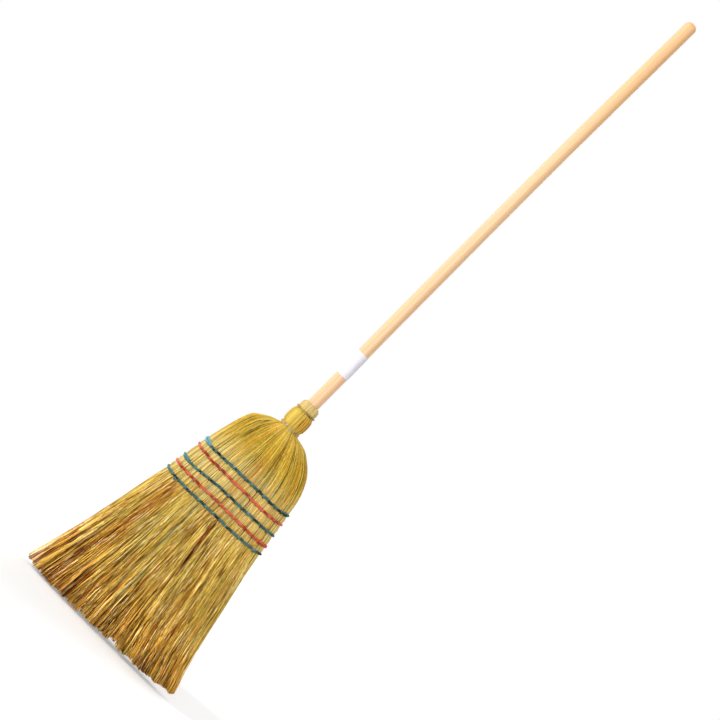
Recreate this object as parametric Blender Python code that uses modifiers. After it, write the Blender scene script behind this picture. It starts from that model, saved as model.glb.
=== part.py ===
# Flat straw broom on a round wooden handle, standing upright on its trimmed straw.
# Lengths are in metres. +Z runs up the handle, the broad face looks along -Y,
# and the floor is at z = 0 below the middle of the spread straw.

import math
import random
from collections import namedtuple

import bpy
from mathutils import Vector

# Heights, from the floor up
FREE_STRAW_LENGTH = 0.285
ROOT_TO_ROW = 0.011
SEWN_BAND_HEIGHT = 0.0825
SHOULDER_HEIGHT = 0.1155
NECK_LENGTH = 0.039
COLLAR_LENGTH = 0.017
EXPOSED_HANDLE_LENGTH = 0.950

# Handle and its paper wrap
HANDLE_DIAMETER = 0.024
HANDLE_DOME_HEIGHT = 0.010
HANDLE_POINT_LENGTH = 0.105
HANDLE_POINT_DIAMETER = 0.010
HANDLE_SEAT = 0.012
HANDLE_SIDE_OFFSET = 0.012
LABEL_LENGTH = 0.054
LABEL_RISE = 0.073
PAPER_THICKNESS = 0.0004

# Straw round the handle, as thicknesses of its layers
CORE_WALL = 0.0016
COLLAR_TOP_WALL = 0.0034
COLLAR_LIP_WALL = 0.0050
UPPER_WIRE_WALL = 0.0048
BULB_WALL = 0.0096
LOWER_WIRE_WALL = 0.0063
NECK_SIDE_OFFSET = 0.002

# Straw below the neck
SHOULDER_DEPTH = 0.058
SEWN_TOP_WIDTH = 0.197
SEWN_BOTTOM_WIDTH = 0.224
SEWN_DEPTH = 0.038
PILLOW_RISE = 0.0016
SKIRT_WIDTH = 0.366
SKIRT_DEPTH = 0.074
SKIRT_LEAN = 0.002

# Free straw, gathered into strands
STRAND_EMBED = 0.002
TIP_RAGGEDNESS = 0.004
TRIM_DEPTH = 0.0005
CORNER_RISE = 0.018

# Wire, twine and nail
WIRE_DIAMETER = 0.0014
WIRE_SELF_GAP = 0.00045
TWINE_DIAMETER = 0.0026
TWINE_SELF_GAP = 0.0005
ROW_SAGS = (0.003, 0.004, -0.0005, 0.001, 0.0035)
ROW_TILTS = (0.004, 0.0, 0.008, 0.0, 0.004)
NAIL_DIAMETER = 0.0018
NAIL_HEAD_DIAMETER = 0.0048
NAIL_HEAD_THICKNESS = 0.0012
NAIL_GRIP = 0.009
NAIL_POINT_LENGTH = 0.003

FIT_GAP = 0.0003
OVERRUN = 0.003
MERGE_DISTANCE = 0.00001

# Counts and angles
TURNED_STEPS = 32
DOME_STEPS = 5
NAIL_STEPS = 12
SECTOR_STEPS = 6
LOOP_POINTS = 4 * SECTOR_STEPS
NECK_CORNER_ANGLE = math.radians(40)
SMOOTH_ANGLE = math.radians(42)
COVER_COLUMNS = 28
COVER_ROWS = 3
CORE_COLUMNS = 20
CORE_ROWS = 3
SHOULDER_COLUMNS = 8
SLANT_COLUMNS = 1.2
INNER_WIRE_TURNS = 2
LOWER_WIRE_TURNS = 2
UPPER_WIRE_TURNS = 1.5
STRAW_SEED = 11

# Shares. The section is round at the neck and a flattened, blunt oval below it.
ROUND_EXPONENT = 2.0
FLAT_EXPONENT = 2.3
COLLAR_LIP_SHARE = 0.5
CORE_WIDTH_SHARE = 0.62
CORE_DEPTH_SHARE = 0.4
ROW_SHARES = (0.0, 0.21, 0.55, 0.79, 1.0)
SHOULDER_ROW_SHARE = 0.26
OUTLINE_FILL_SHARE = 0.95
SHOULDER_END_SHARE = 0.985
STRAND_FILL_SHARES = (0.70, 0.86)
DRIFT_SHARE = 0.5
RAGGED_SHARE = 0.45
CORNER_START_SHARE = 0.84
INNER_WIRE_SHARE = 0.45
TWINE_START_STEP = 20
TWINE_STEPS = 29

# How far down the neck between the wires, and how far out towards the bulb
BULB_SHARES = ((0.2, 0.72), (0.5, 1.0), (0.82, 0.9))

# Down the shoulder to the first row of stitches: drop, spread to the left, spread
# to the right, depth towards the deepest section, and how flat the inner bundle is
SHOULDER_RISING_SHARES = (
    (0.076, 0.278, 0.335, 0.40, 0.04),
    (0.152, 0.475, 0.482, 0.72, 0.12),
    (0.232, 0.650, 0.606, 0.92, 0.25),
    (0.347, 0.737, 0.736, 1.00, 0.42),
)
SHOULDER_FALLING_SHARES = (
    (0.472, 0.804, 0.831, 0.82, 0.60),
    (0.703, 0.894, 0.936, 0.38, 0.85),
)

# Heights and radii that follow from the sizes above
ROOT_HEIGHT = FREE_STRAW_LENGTH
BOTTOM_ROW_HEIGHT = ROOT_HEIGHT + ROOT_TO_ROW
TOP_ROW_HEIGHT = BOTTOM_ROW_HEIGHT + SEWN_BAND_HEIGHT
LOWER_WIRE_HEIGHT = TOP_ROW_HEIGHT + SHOULDER_HEIGHT
UPPER_WIRE_HEIGHT = LOWER_WIRE_HEIGHT + NECK_LENGTH
COLLAR_TOP_HEIGHT = UPPER_WIRE_HEIGHT + COLLAR_LENGTH
HANDLE_TOP_HEIGHT = COLLAR_TOP_HEIGHT + EXPOSED_HANDLE_LENGTH
HANDLE_FOOT_HEIGHT = TOP_ROW_HEIGHT + HANDLE_SEAT
HANDLE_X = -HANDLE_SIDE_OFFSET
NECK_X = HANDLE_X + NECK_SIDE_OFFSET
HANDLE_RADIUS = HANDLE_DIAMETER / 2
CORE_RADIUS = HANDLE_RADIUS + FIT_GAP + CORE_WALL
WRAP_RADIUS = CORE_RADIUS + FIT_GAP
WIRE_PITCH = WIRE_DIAMETER + WIRE_SELF_GAP
TWINE_PITCH = TWINE_DIAMETER + TWINE_SELF_GAP

# Colours: red, green, blue, then roughness and metallic
FINISHES = {
    "handle_wood": ((0.87, 0.65, 0.41), 0.55, 0.0),
    "label_paper": ((0.86, 0.86, 0.88), 0.7, 0.0),
    "core_straw": ((0.42, 0.26, 0.07), 0.75, 0.0),
    "shoulder_straw": ((0.58, 0.38, 0.08), 0.65, 0.0),
    "cover_straw": ((0.64, 0.43, 0.10), 0.65, 0.0),
    "neck_wire": ((0.20, 0.16, 0.10), 0.45, 0.9),
    "nail_steel": ((0.30, 0.29, 0.27), 0.4, 0.9),
    "blue_twine": ((0.014, 0.085, 0.16), 0.8, 0.0),
    "red_twine": ((0.66, 0.075, 0.04), 0.8, 0.0),
}

Section = namedtuple(
    "Section", "height centre half_width half_depth core_half_depth exponent flatness"
)


def blend(a, b, share):
    return a + (b - a) * share


# Scene, materials and collections


def clear_scene():
    for existing in list(bpy.data.objects):
        bpy.data.objects.remove(existing, do_unlink=True)


def new_collection(name):
    collection = bpy.data.collections.new(name)
    bpy.context.scene.collection.children.link(collection)
    return collection


def new_material(name):
    colour, roughness, metallic = FINISHES[name]
    material = bpy.data.materials.new(name)
    material.use_nodes = True
    shader = material.node_tree.nodes["Principled BSDF"]
    shader.inputs["Base Color"].default_value = (*colour, 1.0)
    shader.inputs["Roughness"].default_value = roughness
    shader.inputs["Metallic"].default_value = metallic
    return material


def new_object(name, data, collection, material=None):
    piece = bpy.data.objects.new(name, data)
    collection.objects.link(piece)
    if material:
        data.materials.append(material)
    return piece


def hide_cutter(cutter):
    cutter.hide_render = True
    cutter.display_type = "WIRE"
    return cutter


def add_boolean(piece, cutter, operation):
    modifier = piece.modifiers.new(operation.lower() + "_" + cutter.name, "BOOLEAN")
    modifier.operation = operation
    modifier.object = cutter
    modifier.solver = "EXACT"


# Turned shapes


def turned(name, profile, steps, collection, material=None, closed=False):
    """Spin a profile, given from top to bottom on its outer side, about local Z."""
    count = len(profile)
    edges = [(i, i + 1) for i in range(count - 1)]
    if closed:
        edges.append((count - 1, 0))
    mesh = bpy.data.meshes.new(name)
    mesh.from_pydata([(radius, 0, height) for radius, height in profile], edges, [])
    piece = new_object(name, mesh, collection, material)
    screw = piece.modifiers.new("spin", "SCREW")
    screw.steps = steps
    screw.render_steps = steps
    screw.use_merge_vertices = True
    screw.merge_threshold = MERGE_DISTANCE
    screw.use_smooth_shade = False
    return piece


def handle_profile(clearance):
    """Outer line of the stick; a clearance larger than zero gives the bore it needs."""
    radius = HANDLE_RADIUS + clearance
    foot_radius = HANDLE_POINT_DIAMETER / 2 + clearance
    dome_base = HANDLE_TOP_HEIGHT - HANDLE_DOME_HEIGHT
    profile = []
    for step in range(DOME_STEPS + 1):
        angle = math.pi / 2 * step / DOME_STEPS
        rise = (HANDLE_DOME_HEIGHT + clearance) * math.cos(angle)
        profile.append((radius * math.sin(angle), dome_base + rise))
    profile.append((radius, HANDLE_FOOT_HEIGHT + HANDLE_POINT_LENGTH))
    profile.append((foot_radius, HANDLE_FOOT_HEIGHT - clearance))
    profile.append((0, HANDLE_FOOT_HEIGHT - clearance))
    return profile


def make_handle(parts, cutters):
    handle = turned("handle", handle_profile(0), TURNED_STEPS, parts, new_material("handle_wood"))
    handle.location = (HANDLE_X, 0, 0)
    bore = turned("handle_bore", handle_profile(FIT_GAP), TURNED_STEPS, cutters)
    bore.location = (HANDLE_X, 0, 0)
    return handle, hide_cutter(bore)


def make_label(parts):
    inner = HANDLE_RADIUS + FIT_GAP
    outer = inner + PAPER_THICKNESS
    bottom = COLLAR_TOP_HEIGHT + LABEL_RISE
    top = bottom + LABEL_LENGTH
    profile = [(outer, top), (outer, bottom), (inner, bottom), (inner, top)]
    label = turned("label", profile, TURNED_STEPS, parts, new_material("label_paper"), True)
    label.location = (HANDLE_X, 0, 0)
    return label


def wire_band_half_height(turns):
    return (turns * WIRE_PITCH + WIRE_DIAMETER) / 2 + FIT_GAP


def nail_profile(clearance, head_top):
    """Head up, point down; the head's underside is at zero."""
    shank_radius = NAIL_DIAMETER / 2 + clearance
    tip = -(COLLAR_LIP_WALL + WRAP_RADIUS + FIT_GAP - HANDLE_RADIUS + NAIL_GRIP) - clearance
    return [
        (0, head_top),
        (NAIL_HEAD_DIAMETER / 2 + clearance, head_top),
        (NAIL_HEAD_DIAMETER / 2 + clearance, 0),
        (shank_radius, 0),
        (shank_radius, tip + NAIL_POINT_LENGTH),
        (0, tip),
    ]


def make_nail(parts, cutters):
    """Driven from the back through the collar into the handle, just above the wire."""
    nail = turned(
        "wire_nail",
        nail_profile(0, NAIL_HEAD_THICKNESS),
        NAIL_STEPS,
        parts,
        new_material("nail_steel"),
    )
    hole = turned("nail_hole", nail_profile(FIT_GAP, OVERRUN), NAIL_STEPS, cutters)
    height = (
        UPPER_WIRE_HEIGHT
        + wire_band_half_height(UPPER_WIRE_TURNS)
        + NAIL_HEAD_DIAMETER / 2
        + FIT_GAP
    )
    seat = WRAP_RADIUS + COLLAR_LIP_WALL + FIT_GAP
    for piece in (nail, hole):
        piece.location = (HANDLE_X, seat, height)
        piece.rotation_euler = (-math.pi / 2, 0, 0)
    return nail, hide_cutter(hole)


# Sections of the straw


def neck_section(height, wall):
    radius = WRAP_RADIUS + wall
    return Section(height, NECK_X, radius, radius, radius, ROUND_EXPONENT, 0)


def neck_sections():
    upper_half = wire_band_half_height(UPPER_WIRE_TURNS)
    lower_half = wire_band_half_height(LOWER_WIRE_TURNS)
    upper_top = UPPER_WIRE_HEIGHT + upper_half
    upper_bottom = UPPER_WIRE_HEIGHT - upper_half
    lower_top = LOWER_WIRE_HEIGHT + lower_half
    sections = [
        neck_section(COLLAR_TOP_HEIGHT, COLLAR_TOP_WALL),
        neck_section(blend(COLLAR_TOP_HEIGHT, upper_top, COLLAR_LIP_SHARE), COLLAR_LIP_WALL),
        neck_section(upper_top, UPPER_WIRE_WALL),
        neck_section(upper_bottom, UPPER_WIRE_WALL),
    ]
    for drop_share, bulge_share in BULB_SHARES:
        waist = blend(UPPER_WIRE_WALL, LOWER_WIRE_WALL, drop_share)
        height = blend(upper_bottom, lower_top, drop_share)
        sections.append(neck_section(height, blend(waist, BULB_WALL, bulge_share)))
    sections.append(neck_section(lower_top, LOWER_WIRE_WALL))
    sections.append(neck_section(LOWER_WIRE_HEIGHT - lower_half, LOWER_WIRE_WALL))
    return sections


def shoulder_sections(neck_end):
    """From the round waist under the lower wire out to the flat, sewn part."""
    row_half_width = SEWN_TOP_WIDTH / 2
    neck_left = neck_end.centre - neck_end.half_width
    neck_right = neck_end.centre + neck_end.half_width
    crest = SHOULDER_DEPTH / 2
    stages = [(shares, neck_end.half_depth) for shares in SHOULDER_RISING_SHARES]
    stages += [(shares, SEWN_DEPTH / 2) for shares in SHOULDER_FALLING_SHARES]
    sections = []
    for (drop, left_share, right_share, depth_share, flatness), base_depth in stages:
        left = blend(neck_left, -row_half_width, left_share)
        right = blend(neck_right, row_half_width, right_share)
        half_depth = blend(base_depth, crest, depth_share)
        sections.append(
            Section(
                blend(neck_end.height, TOP_ROW_HEIGHT, drop),
                (left + right) / 2,
                (right - left) / 2,
                half_depth,
                half_depth * CORE_DEPTH_SHARE,
                blend(ROUND_EXPONENT, FLAT_EXPONENT, flatness),
                flatness,
            )
        )
    return sections


def row_height(share):
    return blend(TOP_ROW_HEIGHT, BOTTOM_ROW_HEIGHT, share)


def sewn_section(height, rise):
    share = (TOP_ROW_HEIGHT - height) / SEWN_BAND_HEIGHT
    half_width = blend(SEWN_TOP_WIDTH, SEWN_BOTTOM_WIDTH, share) / 2
    half_depth = SEWN_DEPTH / 2
    core = half_depth * CORE_DEPTH_SHARE
    return Section(height, 0, half_width, half_depth + rise, core, FLAT_EXPONENT, 1)


def sewn_sections():
    """Pinched in at each row of stitches and full between the rows."""
    sections = []
    for share, next_share in zip(ROW_SHARES, ROW_SHARES[1:]):
        sections.append(sewn_section(row_height(share), 0))
        sections.append(sewn_section(row_height((share + next_share) / 2), PILLOW_RISE))
    sections.append(sewn_section(BOTTOM_ROW_HEIGHT, 0))
    sections.append(sewn_section(ROOT_HEIGHT, PILLOW_RISE))
    return sections


def sector_angles(corner):
    """Start and end angle of the right, back, left and front sectors, anticlockwise."""
    return (
        (-corner, corner),
        (corner, math.pi - corner),
        (math.pi - corner, math.pi + corner),
        (math.pi + corner, 2 * math.pi - corner),
    )


def oval_point(section, angle):
    power = 2 / section.exponent
    across = math.copysign(abs(math.cos(angle)) ** power, math.cos(angle))
    deep = math.copysign(abs(math.sin(angle)) ** power, math.sin(angle))
    return Vector((section.centre + section.half_width * across, section.half_depth * deep))


def outer_sectors(section):
    """Outline of the head, as four runs of points that share their end points."""
    flat_corner = math.acos(CORE_WIDTH_SHARE ** (section.exponent / 2))
    corner = blend(NECK_CORNER_ANGLE, flat_corner, section.flatness)
    return [
        [oval_point(section, blend(start, end, j / SECTOR_STEPS)) for j in range(SECTOR_STEPS + 1)]
        for start, end in sector_angles(corner)
    ]


def inner_sectors(section):
    """Line between the inner bundle and the outer ones: a circle that turns into a slab."""
    half_width = section.half_width * CORE_WIDTH_SHARE
    half_depth = section.core_half_depth
    corners = [(1, -1), (1, 1), (-1, 1), (-1, -1), (1, -1)]
    slab = [Vector((section.centre + half_width * x, half_depth * y)) for x, y in corners]
    radius = CORE_RADIUS + FIT_GAP / 2
    runs = []
    for side, (start, end) in enumerate(sector_angles(NECK_CORNER_ANGLE)):
        run = []
        for j in range(SECTOR_STEPS + 1):
            share = j / SECTOR_STEPS
            angle = blend(start, end, share)
            ring = Vector((HANDLE_X + radius * math.cos(angle), radius * math.sin(angle)))
            run.append(ring.lerp(slab[side].lerp(slab[side + 1], share), section.flatness))
        runs.append(run)
    return runs


def inset_loop(loop, distance):
    """Move each edge of an anticlockwise loop inwards by the distance."""
    moved = []
    for i, point in enumerate(loop):
        before = (point - loop[i - 1]).normalized()
        after = (loop[(i + 1) % len(loop)] - point).normalized()
        normal_before = Vector((-before.y, before.x))
        normal_after = Vector((-after.y, after.x))
        reach = 1 + normal_before.dot(normal_after)
        moved.append(point + (normal_before + normal_after) * (distance / reach))
    return moved


def sector_loop(section, side):
    outer = outer_sectors(section)[side]
    inner = inner_sectors(section)[side]
    return inset_loop(outer + inner[::-1], FIT_GAP / 2)


def core_loop(section):
    runs = inner_sectors(section)
    return inset_loop([point for run in runs for point in run[:-1]], FIT_GAP / 2)


def loft(vertices, faces, rings, rises):
    """Close a stack of like loops, lowest first; rises says which way each face splits."""
    base = len(vertices)
    count = len(rises)
    for height, loop in rings:
        vertices.extend((point.x, point.y, height) for point in loop)
    for level in range(len(rings) - 1):
        low = base + level * count
        high = low + count
        for j, rising in enumerate(rises):
            k = (j + 1) % count
            if rising:
                faces.append((low + j, low + k, high + k))
                faces.append((low + j, high + k, high + j))
            else:
                faces.append((low + j, low + k, high + j))
                faces.append((low + k, high + k, high + j))
    top = base + (len(rings) - 1) * count
    faces.append([base + j for j in reversed(range(count))])
    faces.append([top + j for j in range(count)])


def mesh_from(name, vertices, faces):
    mesh = bpy.data.meshes.new(name)
    mesh.from_pydata(vertices, [], faces)
    mesh.update()
    return mesh


# Strands of free straw. Each one keeps to its own cell of the head's section, and the
# cells only widen towards the floor, so no strand can cross another.


def strand_place(x, y, height, root):
    share = (ROOT_HEIGHT - height) / ROOT_HEIGHT
    half_width = blend(root.half_width, SKIRT_WIDTH / 2, share)
    half_depth = blend(root.half_depth, SKIRT_DEPTH / 2, share)
    centre = blend(root.centre, SKIRT_LEAN, share)
    return Vector((centre + x * half_width, y * half_depth))


def oval_depth(x):
    """Half-depth of the unit section at x, drawn in a little from the outline."""
    inside = max(1 - abs(x) ** FLAT_EXPONENT, 0)
    return OUTLINE_FILL_SHARE * inside ** (1 / FLAT_EXPONENT)


def grid_cells(x_start, x_end, columns, rows, low, high):
    """Corners of the cells between the lines low(x) and high(x), in unit coordinates.

    The columns slant between the two lines, so that no slot runs straight through.
    """

    def corner(column, depth):
        place = column / columns
        slant = SLANT_COLUMNS * (depth - 0.5) * 4 * place * (1 - place)
        x = blend(x_start, x_end, (column + slant) / columns)
        return Vector((x, blend(low(x), high(x), depth)))

    cells = []
    for column in range(columns):
        left = blend(x_start, x_end, column / columns)
        right = blend(x_start, x_end, (column + 1) / columns)
        count = rows(left, right)
        for row in range(count):
            near, far = row / count, (row + 1) / count
            cells.append(
                [
                    corner(column, near),
                    corner(column + 1, near),
                    corner(column + 1, far),
                    corner(column, far),
                ]
            )
    return cells


def cover_cells(core_share, side):
    """Cells of the front (side -1) or back (side 1) layer."""
    inner = CORE_WIDTH_SHARE

    def near(x):
        return side * core_share if side > 0 else -oval_depth(x)

    def far(x):
        return oval_depth(x) if side > 0 else side * core_share

    return grid_cells(-inner, inner, COVER_COLUMNS, lambda a, b: COVER_ROWS, near, far)


def core_cells(core_share):
    inner = CORE_WIDTH_SHARE
    return grid_cells(
        -inner,
        inner,
        CORE_COLUMNS,
        lambda a, b: CORE_ROWS,
        lambda x: -core_share,
        lambda x: core_share,
    )


def shoulder_cells(side):
    """Fewer cells deep towards the thin outer edge of the head."""
    first, last = CORE_WIDTH_SHARE, SHOULDER_END_SHARE
    x_start, x_end = (first, last) if side > 0 else (-last, -first)

    def rows(left, right):
        depth = oval_depth(left) + oval_depth(right)
        return max(round(depth / SHOULDER_ROW_SHARE), 2)

    return grid_cells(
        x_start, x_end, SHOULDER_COLUMNS, rows, lambda x: -oval_depth(x), oval_depth
    )


def strand_outline(cell, sides, drift, fill):
    """A three or four sided outline inside the cell, drifted from its middle."""
    middle = sum(cell, Vector((0, 0))) / len(cell)
    corners = cell if sides == 4 else [cell[0], cell[1], (cell[2] + cell[3]) / 2]
    span = Vector(
        (cell[1].x - cell[0].x, min(cell[3].y - cell[0].y, cell[2].y - cell[1].y))
    )
    room = (1 - fill) / 2 * DRIFT_SHARE
    moved = middle + Vector((span.x * drift[0], span.y * drift[1])) * room
    return [moved + (corner - middle) * fill for corner in corners]


def tip_height(x, chance):
    """Trimmed level, with some shorter strands and a rounded-off right corner."""
    ragged = TIP_RAGGEDNESS * max(chance.random() - RAGGED_SHARE, 0) / (1 - RAGGED_SHARE)
    corner = CORNER_RISE * max(x - CORNER_START_SHARE, 0) / (1 - CORNER_START_SHARE)
    return max(ragged + corner - TRIM_DEPTH, 0)


def make_strands(name, cells, sides, root, seed, cutters):
    chance = random.Random(seed)
    vertices, faces = [], []
    for cell in cells:
        drifts = [(chance.uniform(-1, 1), chance.uniform(-1, 1)) for end in range(2)]
        fills = [chance.uniform(*STRAND_FILL_SHARES) for end in range(2)]
        middle = sum(cell, Vector((0, 0))) / len(cell)
        tip = tip_height(middle.x, chance)
        top = ROOT_HEIGHT + STRAND_EMBED
        rings = []
        for height, drift, fill in zip((tip, top), drifts, fills):
            outline = strand_outline(cell, sides, drift, fill)
            rings.append((height, [strand_place(p.x, p.y, height, root) for p in outline]))
        loft(vertices, faces, rings, [True] * sides)
    strands = new_object(name, mesh_from(name, vertices, faces), cutters)
    print(name, "strands:", len(cells))
    return hide_cutter(strands)


# Bundles of straw


def make_bundle(name, rings, rises, material, collection):
    vertices, faces = [], []
    loft(vertices, faces, rings, rises)
    mesh = mesh_from(name, vertices, faces)
    mesh.shade_smooth()
    mesh.set_sharp_from_angle(angle=SMOOTH_ANGLE)
    return new_object(name, mesh, collection, material)


def make_straw(parts, cutters, bore, nail_hole):
    neck = neck_sections()
    shoulders = shoulder_sections(neck[-1])
    sewn = sewn_sections()
    sections = neck + shoulders + sewn
    root = sewn[-1]
    core_share = root.core_half_depth / root.half_depth

    core_sections = [neck[0], neck[-1]] + shoulders + [sewn[0], root]
    rings = [(s.height, core_loop(s)) for s in reversed(core_sections)]
    core = make_bundle(
        "core_straw", rings, [True] * LOOP_POINTS, new_material("core_straw"), parts
    )
    strands = make_strands("core_strands", core_cells(core_share), 3, root, STRAW_SEED, cutters)
    add_boolean(core, strands, "UNION")
    add_boolean(core, bore, "DIFFERENCE")
    add_boolean(core, nail_hole, "DIFFERENCE")

    groove = make_wire_groove(cutters)
    shoulder_straw = new_material("shoulder_straw")
    cover_straw = new_material("cover_straw")
    outer = (
        ("right_shoulder_straw", 0, shoulder_cells(1), shoulder_straw),
        ("back_cover_straw", 1, cover_cells(core_share, 1), cover_straw),
        ("left_shoulder_straw", 2, shoulder_cells(-1), shoulder_straw),
        ("front_cover_straw", 3, cover_cells(core_share, -1), cover_straw),
    )
    walls = SECTOR_STEPS
    rises = [True] * walls + [False] + [False] * walls + [True]
    for name, side, cells, material in outer:
        rings = [(s.height, sector_loop(s, side)) for s in reversed(sections)]
        bundle = make_bundle(name, rings, rises, material, parts)
        strand_name = name.replace("straw", "strands")
        seed = STRAW_SEED + 1 + side
        strands = make_strands(strand_name, cells, 4, root, seed, cutters)
        add_boolean(bundle, strands, "UNION")
        add_boolean(bundle, groove, "DIFFERENCE")
        if name == "back_cover_straw":
            add_boolean(bundle, nail_hole, "DIFFERENCE")
    return sections


# Wire and twine, each one unbroken round tube


def tube(name, points, diameter, collection, material):
    curve = bpy.data.curves.new(name, "CURVE")
    curve.dimensions = "3D"
    curve.bevel_depth = diameter / 2
    curve.bevel_resolution = 1
    curve.use_fill_caps = True
    spline = curve.splines.new("POLY")
    spline.points.add(len(points) - 1)
    for target, point in zip(spline.points, points):
        target.co = (*point, 1)
        target.radius = 1
    return new_object(name, curve, collection, material)


def print_self_gap(name, points, diameter):
    """Least gap between passes that lie about a turn apart, on points along the tube."""
    samples = []
    for start, end in zip(points, points[1:]):
        samples += [start, start.lerp(end, 0.5)]
    samples.append(points[-1])
    apart = LOOP_POINTS
    least = None
    for i, one in enumerate(samples):
        for other in samples[i + apart :]:
            gap = (one - other).length - diameter
            least = gap if least is None else min(least, gap)
    if least is not None:
        print(name, "least gap to itself, mm:", round(least * 1000, 3))


def coil_radius(surface_radius):
    """Radius of a winding's corners whose straight steps still clear the surface."""
    return (surface_radius + FIT_GAP + WIRE_DIAMETER / 2) / math.cos(math.pi / LOOP_POINTS)


def coil_points(x, surface_radius, middle_height, turns):
    radius = coil_radius(surface_radius)
    steps = round(turns * LOOP_POINTS)
    points = []
    for step in range(steps + 1):
        angle = math.pi / 2 + 2 * math.pi * step / LOOP_POINTS
        height = middle_height + WIRE_PITCH * (turns / 2 - step / LOOP_POINTS)
        points.append(
            Vector((x + radius * math.cos(angle), radius * math.sin(angle), height))
        )
    return points


def inner_wire_height():
    return blend(LOWER_WIRE_HEIGHT, UPPER_WIRE_HEIGHT, INNER_WIRE_SHARE)


def make_wire_groove(cutters):
    """Room in the outer bundles for the winding round the inner one."""
    half_height = wire_band_half_height(INNER_WIRE_TURNS)
    outer = coil_radius(CORE_RADIUS) + WIRE_DIAMETER / 2 + FIT_GAP
    top = inner_wire_height() + half_height
    bottom = inner_wire_height() - half_height
    profile = [(outer, top), (outer, bottom), (HANDLE_RADIUS, bottom), (HANDLE_RADIUS, top)]
    groove = turned("inner_wire_groove", profile, TURNED_STEPS, cutters, closed=True)
    groove.location = (HANDLE_X, 0, 0)
    return hide_cutter(groove)


def make_wires(parts):
    steel = new_material("neck_wire")
    windings = (
        ("inner_wire", HANDLE_X, CORE_RADIUS, inner_wire_height(), INNER_WIRE_TURNS),
        (
            "lower_neck_wire",
            NECK_X,
            WRAP_RADIUS + LOWER_WIRE_WALL,
            LOWER_WIRE_HEIGHT,
            LOWER_WIRE_TURNS,
        ),
        (
            "upper_neck_wire",
            NECK_X,
            WRAP_RADIUS + UPPER_WIRE_WALL,
            UPPER_WIRE_HEIGHT,
            UPPER_WIRE_TURNS,
        ),
    )
    for name, x, surface_radius, height, turns in windings:
        points = coil_points(x, surface_radius, height, turns)
        tube(name, points, WIRE_DIAMETER, parts, steel)
        print_self_gap(name, points, WIRE_DIAMETER)


def outline_at(sections, height):
    """Outline of the straw at any height, as the lofted surface has it."""
    for upper, lower in zip(sections, sections[1:]):
        if lower.height <= height <= upper.height:
            share = (upper.height - height) / (upper.height - lower.height)
            high = [p for run in outer_sectors(upper) for p in run[:-1]]
            low = [p for run in outer_sectors(lower) for p in run[:-1]]
            return [a.lerp(b, share) for a, b in zip(high, low)]
    raise ValueError("height outside the straw")


def row_points(sections, height, sag, tilt):
    """Once round the head and over its own start at the left edge.

    The row sags in the middle and rises by its tilt from the left edge to the right.
    """
    half_width = sewn_section(height, 0).half_width
    level = inset_loop(outline_at(sections, height), -(FIT_GAP + TWINE_DIAMETER / 2))
    points = []
    for step in range(TWINE_STEPS + 1):
        index = (TWINE_START_STEP - step) % LOOP_POINTS
        across = max(min(level[index].x / half_width, 1), -1)
        drop = TWINE_PITCH * (step - TWINE_STEPS / 2) / LOOP_POINTS
        own_height = height - drop - sag * (1 - across**2) + tilt / 2 * across
        loop = inset_loop(outline_at(sections, own_height), -(FIT_GAP + TWINE_DIAMETER / 2))
        points.append(Vector((loop[index].x, loop[index].y, own_height)))
    return points


def make_stitch_rows(parts, sections):
    colours = [new_material("blue_twine"), new_material("red_twine")]
    for row, (share, sag, tilt) in enumerate(zip(ROW_SHARES, ROW_SAGS, ROW_TILTS)):
        name = f"stitch_row_{row + 1}"
        points = row_points(sections, row_height(share), sag, tilt)
        tube(name, points, TWINE_DIAMETER, parts, colours[row % 2])
        print_self_gap(name, points, TWINE_DIAMETER)


def main():
    clear_scene()
    parts = new_collection("straw_broom")
    cutters = new_collection("cutters")
    handle, bore = make_handle(parts, cutters)
    make_label(parts)
    nail, nail_hole = make_nail(parts, cutters)
    add_boolean(handle, nail_hole, "DIFFERENCE")
    sections = make_straw(parts, cutters, bore, nail_hole)
    make_wires(parts)
    make_stitch_rows(parts, sections)


main()
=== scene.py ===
import math

import bpy
import numpy as np
from mathutils import Matrix, Vector


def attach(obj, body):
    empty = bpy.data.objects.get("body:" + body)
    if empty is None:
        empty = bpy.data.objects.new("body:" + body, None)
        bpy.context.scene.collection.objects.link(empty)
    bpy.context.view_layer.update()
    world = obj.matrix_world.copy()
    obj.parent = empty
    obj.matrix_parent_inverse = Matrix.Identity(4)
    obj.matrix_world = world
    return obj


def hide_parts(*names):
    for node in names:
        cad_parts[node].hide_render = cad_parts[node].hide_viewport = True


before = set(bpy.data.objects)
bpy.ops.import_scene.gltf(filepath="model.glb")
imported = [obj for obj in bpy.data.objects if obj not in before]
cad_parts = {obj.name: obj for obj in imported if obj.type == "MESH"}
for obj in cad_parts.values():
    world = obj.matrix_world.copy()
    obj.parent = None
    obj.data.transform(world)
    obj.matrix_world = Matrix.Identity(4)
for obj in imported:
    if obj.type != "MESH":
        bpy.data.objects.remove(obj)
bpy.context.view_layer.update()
scene = bpy.context.scene
millimetre = 0.001
print("frame loaded:", len(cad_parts), "nodes")

# The camera looks level at the broad face and is rolled, so that the broom leans in the picture.
cameraValues = {
    "middleX": -0.0064,
    "middleZ": 0.6655,
    "width": 1.269,  # metres across the picture, at the broom
    "lens": 120.0,
    "sensor": 36.0,
    "lean": 45.127,  # degrees
}


def makeCamera(values):
    data = bpy.data.cameras.new("photoCamera")
    data.lens = values["lens"]
    data.sensor_width = values["sensor"]
    camera = bpy.data.objects.new("photoCamera", data)
    scene.collection.objects.link(camera)
    lean = math.radians(values["lean"])
    right = Vector((math.cos(lean), 0, math.sin(lean)))
    up = Vector((-math.sin(lean), 0, math.cos(lean)))
    back = right.cross(up)
    distance = values["width"] * values["lens"] / values["sensor"]
    place = Matrix((right, up, back)).transposed().to_4x4()
    place.translation = Vector((values["middleX"], 0, values["middleZ"])) + back * distance
    camera.matrix_world = place
    scene.camera = camera


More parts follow.
